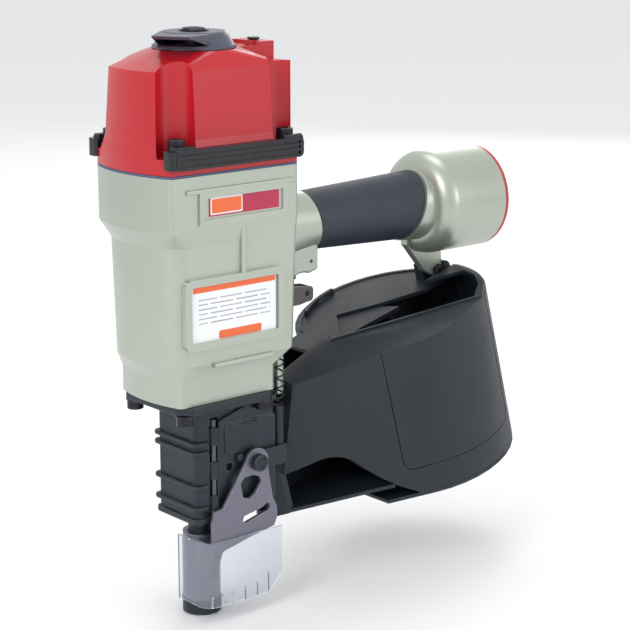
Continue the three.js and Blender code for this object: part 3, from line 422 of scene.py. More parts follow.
def makeWearGroup():  # rubbed outer edges, broken up by noise
    tree, given, out = groupOf(
        "edgeWear",
        [
            ("Vector", "NodeSocketVector", None),
            ("Radius", "NodeSocketFloat", 0.0012),
            ("Amount", "NodeSocketFloat", 0.5),
        ],
        [("Mask", "NodeSocketFloat")],
    )
    real = shaderNode(tree, "ShaderNodeNewGeometry")
    eased = shaderNode(tree, "ShaderNodeBevel", {"Radius": given.outputs["Radius"]}, samples=4)
    likeness = shaderNode(
        tree,
        "ShaderNodeVectorMath",
        {0: real.outputs["Normal"], 1: eased.outputs["Normal"]},
        operation="DOT_PRODUCT",
    )
    edge = calc(tree, "MULTIPLY", calc(tree, "SUBTRACT", 1.0, likeness.outputs["Value"]), 9.0, True)
    breakUp = shaderNode(
        tree, "ShaderNodeTexNoise", {"Vector": given.outputs["Vector"], "Scale": 160.0, "Detail": 6.0}
    )
    patches = shaderNode(
        tree, "ShaderNodeMapRange", {"Value": breakUp.outputs["Fac"], "From Min": 0.42, "From Max": 0.66}
    )
    mask = calc(
        tree,
        "MULTIPLY",
        calc(tree, "MULTIPLY", edge, patches.outputs["Result"]),
        given.outputs["Amount"],
        True,
    )
    tree.links.new(mask, out.inputs["Mask"])
    return tree


def makeSmudgeGroup():  # uneven gloss from hands and wiping
    tree, given, out = groupOf(
        "smudges",
        [
            ("Vector", "NodeSocketVector", None),
            ("Low", "NodeSocketFloat", 0.3),
            ("High", "NodeSocketFloat", 0.5),
        ],
        [("Roughness", "NodeSocketFloat")],
    )
    stretched = shaderNode(
        tree, "ShaderNodeMapping", {"Vector": given.outputs["Vector"], "Scale": (1.0, 1.0, 0.35)}
    )
    noise = shaderNode(
        tree,
        "ShaderNodeTexNoise",
        {"Vector": stretched.outputs["Vector"], "Scale": 38.0, "Detail": 7.0, "Roughness": 0.62},
    )
    ranged = shaderNode(
        tree,
        "ShaderNodeMapRange",
        {
            "Value": noise.outputs["Fac"],
            "From Min": 0.3,
            "From Max": 0.7,
            "To Min": given.outputs["Low"],
            "To Max": given.outputs["High"],
        },
    )
    tree.links.new(ranged.outputs["Result"], out.inputs["Roughness"])
    return tree


def linear(red, green, blue):  # from the usual 0-255 screen values
    return tuple(
        (v / 255 / 12.92) if v < 10.3 else ((v / 255 + 0.055) / 1.055) ** 2.4
        for v in (red, green, blue)
    ) + (1.0,)


finishValues = {
    # colour, cloud colour, worn colour, metallic, gloss low and high, grain scale, grain depth, wear, coat
    "castEnamel": (
        (180, 186, 175), (168, 174, 163), (214, 218, 208), 0.68, 0.30, 0.42, 1500, 0.012, 0.35, 0.15
    ),
    "redEnamel": ((184, 20, 34), (172, 15, 28), (214, 80, 86), 0.0, 0.26, 0.38, 1300, 0.006, 0.15, 0.15),
    "noseCoating": ((40, 46, 55), (34, 40, 48), (112, 118, 126), 0.35, 0.36, 0.52, 1100, 0.03, 0.6, 0.0),
    "boltSteel": ((48, 49, 54), (40, 41, 46), (120, 120, 124), 0.75, 0.28, 0.46, 1400, 0.012, 0.7, 0.0),
    "footSteel": ((122, 121, 134), (108, 108, 122), (170, 170, 178), 0.7, 0.34, 0.5, 1200, 0.02, 0.6, 0.0),
    "barSteel": ((96, 98, 104), (84, 86, 92), (170, 170, 174), 0.85, 0.3, 0.46, 1500, 0.01, 0.6, 0.0),
    "bumperRubber": ((26, 27, 33), (21, 22, 27), (60, 61, 68), 0.0, 0.16, 0.3, 1800, 0.015, 0.4, 0.0),
    "magazineNylon": ((24, 32, 41), (20, 27, 35), (62, 70, 78), 0.0, 0.44, 0.58, 900, 0.05, 0.5, 0.0),
    "deflectorNylon": ((78, 80, 96), (68, 70, 85), (104, 106, 118), 0.0, 0.3, 0.45, 1200, 0.03, 0.5, 0.0),
    "triggerNylon": ((92, 88, 90), (82, 78, 80), (130, 126, 126), 0.1, 0.42, 0.58, 1000, 0.04, 0.5, 0.0),
    "gasketPaper": ((84, 104, 138), (72, 90, 122), (110, 128, 158), 0.0, 0.6, 0.8, 2200, 0.02, 0.1, 0.0),
    "plugBrass": ((186, 150, 84), (170, 134, 70), (214, 184, 124), 0.95, 0.22, 0.4, 1500, 0.008, 0.5, 0.0),
    "plateCrimson": ((178, 30, 70), (168, 26, 64), (214, 96, 120), 0.1, 0.25, 0.36, 1500, 0.004, 0.1, 0.3),
    "plateOrange": ((232, 104, 48), (224, 96, 42), (244, 150, 104), 0.1, 0.25, 0.36, 1500, 0.004, 0.1, 0.3),
    "plateWhite": ((232, 232, 230), (222, 222, 222), (240, 240, 240), 0.0, 0.3, 0.4, 1500, 0.004, 0.1, 0.3),
    "ringRed": ((178, 52, 56), (166, 44, 50), (214, 120, 120), 0.0, 0.28, 0.4, 1300, 0.008, 0.3, 0.3),
}

grainGroup = makeGrainGroup()
wearGroup = makeWearGroup()
smudgeGroup = makeSmudgeGroup()
finishes = {}


def freshMaterial(name):
    material = bpy.data.materials.new(name)
    material.use_nodes = True
    tree = material.node_tree
    finishes[name] = material
    return tree, tree.nodes["Principled BSDF"], shaderNode(tree, "ShaderNodeTexCoord").outputs["Object"]


def groupNode(tree, group, values):
    made = tree.nodes.new("ShaderNodeGroup")
    made.node_tree = group
    for key, value in values.items():
        if isinstance(value, bpy.types.NodeSocket):
            tree.links.new(value, made.inputs[key])
        else:
            made.inputs[key].default_value = value
    return made


def mixColour(tree, factor, a, b, how="MIX"):
    made = shaderNode(tree, "ShaderNodeMix", data_type="RGBA", blend_type=how)
    for key, value in ((0, factor), (6, a), (7, b)):
        if isinstance(value, bpy.types.NodeSocket):
            tree.links.new(value, made.inputs[key])
        else:
            made.inputs[key].default_value = value
    return made.outputs[2]


def makeFinish(name, values):
    colour, cloudColour, wornColour, metallic, low, high, scale, depth, wear, coat = values
    tree, shader, place = freshMaterial(name)
    grain = groupNode(tree, grainGroup, {"Vector": place, "Scale": scale})
    worn = groupNode(tree, wearGroup, {"Vector": place, "Amount": wear})
    smudge = groupNode(tree, smudgeGroup, {"Vector": place, "Low": low, "High": high})
    clouded = mixColour(tree, grain.outputs["Cloud"], linear(*colour), linear(*cloudColour))
    tree.links.new(
        mixColour(tree, worn.outputs["Mask"], clouded, linear(*wornColour)), shader.inputs["Base Color"]
    )
    tree.links.new(smudge.outputs["Roughness"], shader.inputs["Roughness"])
    bump = shaderNode(
        tree, "ShaderNodeBump", {"Height": grain.outputs["Height"], "Strength": 0.5, "Distance": depth * mm}
    )
    tree.links.new(bump.outputs["Normal"], shader.inputs["Normal"])
    shader.inputs["Metallic"].default_value = metallic
    shader.inputs["Coat Weight"].default_value = coat
    shader.inputs["Coat Roughness"].default_value = 0.12
    return tree, shader, place, grain


for finishName, values in finishValues.items():
    makeFinish(finishName, values)


def makeGripRubber():  # fine grained rubber with faint rows of cross lines
    tree, shader, place, grain = makeFinish(
        "gripRubber", ((44, 50, 62), (37, 43, 54), (72, 78, 90), 0.0, 0.5, 0.66, 1600, 0.05, 0.4, 0.0)
    )
    rows = shaderNode(
        tree,
        "ShaderNodeTexWave",
        {"Vector": place, "Scale": 95.0, "Distortion": 0.3, "Detail": 1.0},
        bands_direction="X",
    )
    rings = shaderNode(
        tree,
        "ShaderNodeTexWave",
        {"Vector": place, "Scale": 95.0, "Distortion": 0.3, "Detail": 1.0},
        bands_direction="Z",
    )
    weave = calc(
        tree,
        "ADD",
        calc(tree, "MULTIPLY", rows.outputs["Fac"], 0.5),
        calc(tree, "MULTIPLY", rings.outputs["Fac"], 0.3),
    )
    height = calc(tree, "ADD", weave, grain.outputs["Height"])
    bump = shaderNode(tree, "ShaderNodeBump", {"Height": height, "Strength": 0.45, "Distance": 0.09 * mm})
    tree.links.new(bump.outputs["Normal"], shader.inputs["Normal"])


def makeGuardPlastic():  # clear moulded skirt, slightly blue
    tree, shader, place = freshMaterial("guardPlastic")
    grain = groupNode(tree, grainGroup, {"Vector": place, "Scale": 500.0})
    smudge = groupNode(tree, smudgeGroup, {"Vector": place, "Low": 0.08, "High": 0.2})
    tint = mixColour(tree, grain.outputs["Cloud"], linear(236, 240, 246), linear(228, 233, 241))
    tree.links.new(tint, shader.inputs["Base Color"])
    tree.links.new(smudge.outputs["Roughness"], shader.inputs["Roughness"])
    bump = shaderNode(
        tree, "ShaderNodeBump", {"Height": grain.outputs["Height"], "Strength": 0.2, "Distance": 0.02 * mm}
    )
    tree.links.new(bump.outputs["Normal"], shader.inputs["Normal"])
    shader.inputs["Transmission Weight"].default_value = 0.9
    shader.inputs["IOR"].default_value = 1.2


def makeLabelPaper():  # white film with rows of plain grey bars that stand for nothing in particular
    tree, shader, place = freshMaterial("labelPaper")
    low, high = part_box("spec_label")
    centred = shaderNode(tree, "ShaderNodeMapping", {"Vector": place, "Location": (-low.x, 0.0, -low.z)})
    split = shaderNode(tree, "ShaderNodeSeparateXYZ", {"Vector": centred.outputs["Vector"]})
    flat = shaderNode(tree, "ShaderNodeCombineXYZ", {"X": split.outputs["X"], "Y": split.outputs["Z"]})
    bars = shaderNode(
        tree,
        "ShaderNodeTexBrick",
        {
            "Vector": flat.outputs["Vector"],
            "Color1": (0.30, 0.30, 0.33, 1),
            "Color2": (0.45, 0.45, 0.48, 1),
            "Mortar": linear(232, 234, 236),
            "Scale": 1.0,
            "Mortar Size": 0.0011,
            "Brick Width": 0.019,
            "Row Height": 0.0029,
        },
        offset=0.37,
    )
    xs, zs = split.outputs["X"], split.outputs["Z"]
    inField = calc(
        tree, "MULTIPLY", calc(tree, "GREATER_THAN", zs, 0.0115), calc(tree, "LESS_THAN", zs, 0.0285)
    )
    inField = calc(tree, "MULTIPLY", inField, calc(tree, "GREATER_THAN", xs, 0.004))
    inField = calc(tree, "MULTIPLY", inField, calc(tree, "LESS_THAN", xs, (high.x - low.x) - 0.004))
    smudge = groupNode(tree, smudgeGroup, {"Vector": place, "Low": 0.3, "High": 0.45})
    tree.links.new(
        mixColour(tree, inField, linear(232, 234, 236), bars.outputs["Color"]), shader.inputs["Base Color"]
    )
    tree.links.new(smudge.outputs["Roughness"], shader.inputs["Roughness"])


def makeFloorPaint(floor):
    tree, shader, place = freshMaterial("floorPaint")
    grain = groupNode(tree, grainGroup, {"Vector": place, "Scale": 60.0, "Cloud Scale": 1.5})
    pale = studio["floor"] + (1.0,)
    tree.links.new(
        mixColour(tree, grain.outputs["Cloud"], pale, tuple(v * 0.985 for v in pale)),
        shader.inputs["Base Color"],
    )
    shader.inputs["Roughness"].default_value = 0.7
    floor.data.materials.append(finishes["floorPaint"])


makeGripRubber()
makeGuardPlastic()
makeLabelPaper()
makeFloorPaint(layStudio())
print("studio and finishes ready")


# Body casting: barrel, head block, foot flange, handle neck, trigger cheeks and air chamber

castingSizes = {
    "head": (46.3, 50.6, 38.5, 8, 3.5),  # front, rear, half width, bulge, front corner
    "barrel": (40, 50.6, 36.8, 10, 17),
    "flange": (36.7, 37.3, 31, 5, 3),
    "headFoot": 256,
    "barrelTop": 246,
    "waist": (163, 173),
    "taper": 1.5,
    "handleLevel": 244,
    "gripEnds": (85.6, 173.6),
    "leans": (-9, 15),  # degrees the grip's ends lean
    "drum": (193.3, 35, 12),  # shoulder, radius, rounding
    "rim": 0.9,
}


def lean(degrees):
    turn = math.radians(degrees)
    return Vector((math.cos(turn), 0, -math.sin(turn)))


def makeFramedPanel(name, x, z, face, back, border, corner, depth):
    panel = roundedBar(name, x, (face, back), z, corner)
    inner = max(corner - border, 1.2)
    pocket = roundedBar(
        "pocket", (x[0] + border, x[1] - border), (face - 2, face + depth),
        (z[0] + border, z[1] - border), inner
    )
    return carve(panel, pocket)


def makeCasting():
    s = castingSizes
    foot, top = reach("body_casting", "z")[0], reach("cap_gasket", "z")[0] - 0.3
    flangeFoot = reach("nose_plate", "z")[1] + 0.3
    head = plate("bodyCasting", blockOutline(*s["head"]), (s["headFoot"], top))
    slope = hull(
        "slope",
        level(blockOutline(*s["barrel"]), s["barrelTop"]) + level(
            blockOutline(*s["head"]), s["headFoot"] + 0.1
        ),
    )
    slim = blockOutline(*s["barrel"], inset=s["taper"])
    barrel = hull(
        "barrel", level(slim, s["waist"][1]) + level(blockOutline(*s["barrel"]), s["barrelTop"] + 0.1)
    )
    waist = hull(
        "waist", level(blockOutline(*s["flange"]), s["waist"][0]) + level(slim, s["waist"][1] + 0.1)
    )
    flange = plate("flange", blockOutline(*s["flange"]), (flangeFoot, s["waist"][0] + 0.1))
    z = s["handleLevel"]
    neck = hull("neck", ellipse(44.6, 50, 37, z - 3) + ellipse(91.6, 38, 37, z))
    cutBehind(neck, (s["gripEnds"][0], 0, z), lean(s["leans"][0]))
    core = hull("core", ellipse(42.6, 30, 30, z) + ellipse(193, 30, 30, z))
    collar = hull("collar", ellipse(161.6, 46.5, 41, z) + ellipse(193, 50.5, 49, z))
    cutBehind(collar, (s["gripEnds"][1], 0, z), -lean(s["leans"][1]))
    shoulder, radius, rounding = s["drum"]
    drum = rod("drum", "x", radius, (shoulder - rounding, reach("body_casting", "x")[1]), (0, z), 96)
    chooseEdges(drum, lambda middle, way: middle.x < shoulder - rounding + 0.1)
    bevelChosen(rounding, 10)
    cheeks = plate(
        "cheeks",
        [(46.6, 244), (86.6, 230), (86.6, 214)]
        + arc(15, (74, 198), 70, 180, 12)
        + [(58, 189), (58, foot), (52, foot), (52, 168), (46.6, 168)],
        (-14, 14),
        "y",
    )
    soften(cheeks, 1.6, 3, 40)
    ribs = [
        makeFramedPanel("nameFrame", (-27, 40), (259, 279), -39.9, -36, 3.6, 1.4, 1.2),
        makeFramedPanel("labelFrame", (-37.5, 38), (183.5, 227), -38.8, -34, 4.6, 4.5, 1.95),
        roundedBar("topRib", (-36, 44.5), (-39.8, -36), (278.4, 281.4), 0.7, "x"),
        roundedBar("middleRib", (5.2, 8.8), (-38.7, -34), (225, 261), 0.9, "z"),
        roundedBar("lowRib", (-15, 30), (-37.2, -33), (170.2, 173.2), 0.8, "x"),
    ]
    weld(head, slope, barrel, waist, flange, neck, core, collar, drum, cheeks, *ribs)
    cuts = [
        rod("chamber", "z", 33.5, (s["headFoot"], top + 1), (0, 0), 96),
        rod("bore", "z", 31.5, (172.5, s["headFoot"] + 1), (0, 0), 96),
        rod("bumperBore", "z", 24.3, (150.7, 174), (0, 0), 96),
        rod("driverHole", "z", 5.25, (flangeFoot - 1, 160), (0, 0)),
        rod("airWay", "x", 11, (40, 232), (0, z)),
        rod("airChamber", "x", radius - 5, (shoulder + 4, 240), (0, z), 96),
        rod("valveBore", "z", 8.3, (190, 235.3), (76, 0)),
        block("triggerSlot", (53.6, 72), (-6.5, 6.5), (174, 226)),
        block("armGroove", (51.1, 59), (-5.5, 5.5), (foot - 1, 204)),
        rod("pinBore", "y", 2.3, (-15, 15), (59, 219)),
    ]
    for x, pinZ in ((80.5, 220), (54.2, 180), (54.2, 188.5), (53.6, 197.5)):  # small cross-drilled holes
        cuts.append(rod("pinHole", "y", 1.25, (-15, -12), (x, pinZ), 20))
    carve(head, *cuts)
    soften(head, s["rim"], 3, 33)
    return finish(head, "castEnamel", "tool", ["body_casting"])


makeCasting()
print("casting done")


# Cap: red cylinder cap with its corner channels and rear boss

capSizes = {
    "head": (46.3, 50.6, 38.5, 8, 3.5),
    "ledge": 9.5,
    "flare": 10,
    "lean": 4.5,
    "rim": 350,
    "top": 360,
    "seat": 27,
    "channel": 12,
    "rounding": 1.3,
}


def makeCap():
    s = capSizes
    foot = reach("cylinder_cap", "z")[0]
    ledge, flare = foot + s["ledge"], foot + s["ledge"] + s["flare"]
    outline = [blockOutline(*s["head"], inset=i) for i in (0, s["lean"] / 2, s["lean"])]
    cap = plate("cylinderCap", outline[0], (foot, ledge))
    seat = [
        (s["seat"] * math.cos(t), s["seat"] * math.sin(t))
        for t in (math.pi * i / 36 for i in range(72))
    ]
    weld(
        cap,
        hull("flare", level(outline[0], ledge - 0.1) + level(outline[1], flare)),
        hull("walls", level(outline[1], flare - 0.1) + level(outline[2], s["rim"])),
        hull("crown", level(outline[2], s["rim"] - 0.1) + level(seat, s["top"])),
        block("boss", (20, 51.2), (-13, 13), (s["rim"] - 14, s["top"] + 2)),
        block("rearBlock", (20, 53), (-27, 27), (ledge - 2, s["rim"] + 1)),
    )
    cuts = [
        rod("cavity", "z", 30, (foot - 1, 337.6), (0, 0), 96),
        rod("exhaust", "z", 9, (336, s["top"] + 1), (0, 0)),
        rod("sweep", "z", 40.6, (s["top"], s["top"] + 6), (0, 0), 96),
        rod("plugHole", "z", 2.6, (352, 364), (45.6, 0), 32),
    ]
    for i in range(1, 5):
        low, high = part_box(f"cap_screw_{i}")
        middle = ((low + high) / 2 - spot(0, 0, 0)) / mm
        cuts.append(rod("channel", "z", s["channel"], (ledge, s["top"] + 6), (middle.x, middle.y), 64))
        cuts.append(rod("shank", "z", 3.3, (foot - 1, ledge + 2), (middle.x, middle.y), 32))
    pocket = plate("bossPocket", [(28, -11), (43, -11), (38, -3)], (s["top"] - 1, s["top"] + 5))
    carve(cap, *cuts, pocket)
    soften(cap, s["rounding"], 3, 24)
    finish(cap, "redEnamel", "tool", ["cylinder_cap"])
    low, high = reach("cap_gasket", "z")
    gasket = plate("capGasket", blockOutline(*s["head"], inset=0), (low + 0.05, high - 0.05))
    carve(gasket, rod("gasketBore", "z", 33.5, (low - 1, high + 1), (0, 0), 96))
    finish(gasket, "gasketPaper", "tool", ["cap_gasket"])
    plug = rod("capPlug", "z", 2.3, (355, 363), (45.6, 0), 32)
    weld(plug, rod("plugFlange", "z", 3.9, (362.3, 363.8), (45.6, 0), 32))
    soften(plug, 0.4)
    finish(plug, "bumperRubber", "tool", ["cap_plug"])


makeCap()
print("cap done")


# Side bumpers and the cap screws

bumperSizes = {
    "x": (-45.6, 49.9),
    "y": (-43.4, -38.8),
    "z": (294.1, 306.1),
    "wrap": (-49.6, -46.7),
    "grooves": ((1.8, 4), (5.4, 7), (8.4, 10.2)),  # how high each runs above the bar's foot
    "deep": 1.1,
    "eyelet": (7, 3),
}


def makeBumpers():
    s = bumperSizes
    bar = roundedBar("sideBumperNear", s["x"], s["y"], s["z"], 3.2)
    for low, high in s["grooves"]:
        across = (s["x"][0] + 2.4, s["x"][1] - 2.4)
        height = (s["z"][0] + low, s["z"][0] + high)
        carve(bar, roundedBar("groove", across, (s["y"][0] - 1, s["y"][0] + s["deep"]), height, 0.6))
    extras = [
        roundedBar(
            "wrap",
            (s["wrap"][0], s["x"][0] + 3),
            (s["y"][0] + 0.3, -34),
            (s["z"][0] + 0.6, s["z"][1] - 0.6),
            2.4,
            "z",
        )
    ]
    cuts = []
    for i in (1, 3):
        low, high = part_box(f"cap_screw_{i}")
        middle = ((low + high) / 2 - spot(0, 0, 0)) / mm
        foot = reach("cylinder_cap", "z")[0] + capSizes["ledge"] + 0.3
        radius, thick = s["eyelet"]
        eye = rod("eye", "z", radius, (foot, foot + thick), (middle.x, middle.y))
        tongue = block(
            "tongue",
            (middle.x - radius, middle.x + radius),
            (s["y"][1] - 1, middle.y),
            (foot, foot + thick),
        )
        curl = rod(
            "curl", "x", 3.4, (middle.x - radius, middle.x + radius), (s["y"][1] - 0.6, s["z"][1] - 1.4), 32
        )
        extras += [eye, tongue, curl]
        cuts.append(rod("eyeBore", "z", 3.3, (foot - 1, foot + 6), (middle.x, middle.y), 32))
        cuts.append(rod("headRoom", "z", 5.5, (foot + thick, foot + 20), (middle.x, middle.y), 32))
    cuts.append(plate("capRoom", blockOutline(*capSizes["head"], inset=-0.25), (s["z"][0] - 2, foot)))
    weld(bar, *extras)
    carve(bar, *cuts)
    soften(bar, 0.5, 2, 40)
    pick(bar)
    bpy.ops.object.duplicate()
    far = bpy.context.object
    far.name = "sideBumperFar"
    far.data.name = "sideBumperFar"
    middleLine = spot(0, 0, 0)
    bpy.ops.object.mode_set(mode="EDIT")
    bpy.ops.mesh.select_all(action="SELECT")
    bpy.ops.transform.resize(value=(1, -1, 1), center_override=middleLine)
    bpy.ops.object.mode_set(mode="OBJECT")
    outward(far)
    finish(bar, "bumperRubber", "tool", ["side_bumper_left"])
    finish(far, "bumperRubber", "tool", ["side_bumper_right"])


def copyTo(piece, name, shift):  # a second piece of the same shape, with a mesh of its own
    pick(piece)
    bpy.ops.object.duplicate()
    made = bpy.context.object
    made.name = name
    made.data.name = name
    bpy.ops.object.mode_set(mode="EDIT")
    bpy.ops.mesh.select_all(action="SELECT")
    bpy.ops.transform.translate(value=shift)
    bpy.ops.object.mode_set(mode="OBJECT")
    return made


def makeCapScrews():
    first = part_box("cap_screw_1")
    foot, top = reach("cap_screw_1", "z")
    middle = ((first[0] + first[1]) / 2 - spot(0, 0, 0)) / mm
    at = (middle.x, middle.y)
    screw = rod("capScrew1", "z", 5.2, (top - 7.5, top), at, 48)
    choose(screw, lambda centre, normal: normal.z > 0.9)
    bpy.ops.mesh.inset(thickness=0.5 * mm)
    bpy.ops.mesh.extrude_region_move(TRANSFORM_OT_translate={"value": (0, 0, 0.0002)})
    bpy.ops.object.mode_set(mode="OBJECT")
    weld(screw, rod("shank", "z", 3, (foot, top - 7), at, 24))
    carve(screw, rod("socket", "z", 2.9, (top - 4, top + 1), at, 6))
    soften(screw, 0.35, 2)
    for i in range(2, 5):
        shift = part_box(f"cap_screw_{i}")[0] - first[0]
        finish(copyTo(screw, f"capScrew{i}", shift), "boltSteel", "tool", [f"cap_screw_{i}"])
    finish(screw, "boltSteel", "tool", ["cap_screw_1"])


makeBumpers()
makeCapScrews()
print("bumpers and screws done")


# Exhaust deflector, which turns on the cap

deflectorSizes = {
    "radius": 25.5,
    "foot": 360.3,
    "top": 370,
    "heading": 212,  # degrees in plan
    "reach": 38,
    "mouth": 12,
    "root": 20,
    "wall": 2,
}


def makeDeflector():
    s = deflectorSizes
    foot, top = s["foot"], s["top"]
    circle = [math.pi * i / 36 for i in range(72)]
    rings = [(s["radius"] - 1, foot + 1.4), (s["radius"] - 4.0, foot + 7.2), (s["radius"] - 6.4, top)]
    dome = hull(
        "exhaustDeflector", [(r * math.cos(t), r * math.sin(t), z) for r, z in rings for t in circle]
    )
    brim = rod("brim", "z", s["radius"], (foot, foot + 1.6), (0, 0), 96)
    turn = math.radians(s["heading"])

    def facing(points):
        return [
            (a * math.cos(turn) - b * math.sin(turn), a * math.sin(turn) + b * math.cos(turn), z)
            for a, b, z in points
        ]

    def duct(start, end, rootHalf, mouthHalf, low, high, setBack):
        return [(start, side * rootHalf, z) for side in (-1, 1) for z in (low, high)] + [
            (end - (setBack if z == low else 0), side * mouthHalf, z) for side in (-1, 1) for z in (low, high)
        ]

    nozzle = hull("nozzle", facing(duct(4, s["reach"], s["root"], s["mouth"], foot + 1.5, top - 0.4, 10)))
    wall = s["wall"]
    passage = hull(
        "passage", facing(
            duct(
                8, s["reach"] + 12, s["root"] - wall, s["mouth"] - wall - 1, foot + 2.6, top - 0.4 - wall, 0
            )
        )
    )
    weld(dome, brim, nozzle)
    hollow = rod("hollow", "z", 19, (foot - 1, top - wall), (0, 0), 96)
    carve(hollow, rod("hub", "z", 6, (foot - 2, top), (0, 0)))
    carve(dome, hollow, passage)
    carve(
        dome,
        rod("screwBore", "z", 3.5, (foot - 1, top + 1), (0, 0), 32),
        rod("recess", "z", 9.4, (top - 1.2, top + 1), (0, 0), 64),
    )
    soften(dome, 0.7, 3, 28)
    finish(dome, "deflectorNylon", "deflector", ["exhaust_deflector"])
    screw = rod("deflectorScrew", "z", 8, (top - 0.7, top + 1.2), (0, 0), 64)
    choose(screw, lambda centre, normal: normal.z > 0.9)
    bpy.ops.mesh.inset(thickness=1.2 * mm)
    bpy.ops.mesh.extrude_region_move(TRANSFORM_OT_translate={"value": (0, 0, 0.0008)})
    bpy.ops.object.mode_set(mode="OBJECT")
    weld(screw, rod("screwShank", "z", 3, (foot + 0.5, top), (0, 0), 24))
    carve(screw, rod("screwSocket", "z", 4, (top + 0.2, top + 3), (0, 0), 6))
    soften(screw, 0.3, 2)
    finish(screw, "boltSteel", "deflector", ["deflector_screw"])


makeDeflector()
print("deflector done")


# Grip, end cap and air plug

gripSizes = {
    "front": (77.6, 38, 37),  # x, height, width
    "rear": (183.6, 46.5, 41),
    "gap": 0.3,
}


def makeHandleParts():
    z = castingSizes["handleLevel"]
    start, end = castingSizes["gripEnds"]
    front, rear = gripSizes["front"], gripSizes["rear"]
    grip = hull("gripSleeve", ellipse(*front, z, 96) + ellipse(*rear, z, 96))
    cutBehind(grip, (start + gripSizes["gap"], 0, z), -lean(castingSizes["leans"][0]))
    cutBehind(grip, (end - gripSizes["gap"], 0, z), lean(castingSizes["leans"][1]))
    carve(grip, hull("coreRoom", ellipse(60, 30.6, 30.6, z) + ellipse(200, 30.6, 30.6, z)))
    soften(grip, 0.9, 3, 40)
    finish(grip, "gripRubber", "tool", ["grip"])
    drumEnd, face = reach("end_cap", "x")
    drumRear = face - 2.6
    ring = rod("endCap", "x", 35, (drumRear, face), (0, z), 96)
    for inset, depth in ((4.5, -0.8), (1.2, 0.8), (6, 0.6), (1.5, -0.6)):
        choose(
            ring, lambda middle, normal: normal.x > 0.9 and (middle - Vector((middle.x, 0, z))).length < 3
        )
        bpy.ops.mesh.inset(thickness=inset * mm)
        bpy.ops.mesh.extrude_region_move(TRANSFORM_OT_translate={"value": (depth * mm, 0, 0)})
        bpy.ops.object.mode_set(mode="OBJECT")
    weld(ring, rod("spigot", "x", 29.7, (drumEnd, drumRear + 1), (0, z), 96))
    carve(ring, rod("plugBore", "x", 10.3, (drumEnd - 1, face + 3), (0, z)))
    soften(ring, 0.5, 3)
    finish(ring, "ringRed", "tool", ["end_cap"])
    plug = taken("air_plug", "airPlug")
    finish(soften(plug, 0.35, 2), "plugBrass", "tool", ["air_plug"])


makeHandleParts()
print("handle done")


# Name plate and label

plateSizes = {"badge": 24, "border": 0.9, "proud": 0.35}


def makePlates():
    lowX, highX = reach("name_plate", "x")
    lowZ, highZ = reach("name_plate", "z")
    face = reach("name_plate", "y")[0]
    back = reach("name_plate", "y")[1]
    field = roundedBar("namePlate", (lowX + 1.8, highX - 1.8), (face, back), (lowZ + 1.2, highZ - 1.4), 0.6)
    finish(soften(field, 0.12, 2), "plateCrimson", "tool", ["name_plate"])
    s = plateSizes
    badge = roundedBar(
        "plateBadge", (lowX + 3, lowX + 3 + s["badge"]), (face - 0.22, back), (lowZ + 2.1, highZ - 2.3), 0.6
    )
    finish(soften(badge, 0.06, 2), "plateWhite", "tool")
    inner = roundedBar(
        "plateBadgeField",
        (lowX + 3 + s["border"], lowX + 3 + s["badge"] - s["border"]),
        (face - s["proud"], back),
        (lowZ + 2.1 + s["border"], highZ - 2.3 - s["border"]),
        0.5,
    )
    finish(soften(inner, 0.06, 2), "plateOrange", "tool")
    lowX, highX = reach("spec_label", "x")
    lowZ, highZ = reach("spec_label", "z")
    face, back = reach("spec_label", "y")
    sheet = roundedBar("specLabel", (lowX - 0.8, highX + 0.6), (face, back), (lowZ - 0.8, highZ + 0.8), 1.2)
    finish(soften(sheet, 0.1, 2), "labelPaper", "tool", ["spec_label"])
    band = roundedBar(
        "labelBand", (lowX - 0.2, highX), (face - 0.12, back), (highZ - 5.6, highZ + 0.4), 0.6
    )
    finish(soften(band, 0.05, 2), "plateOrange", "tool")
    pill = roundedBar("labelPill", (lowX + 19, highX - 11), (face - 0.12, back), (lowZ + 2, lowZ + 7), 1.2)
    finish(soften(pill, 0.05, 2), "plateOrange", "tool")


makePlates()
print("plates done")


# Trigger, contact lever and their pins

triggerSizes = {"pin": (59, 219), "foot": 190, "half": 6, "wall": 2.2, "leverPin": (84, 197)}


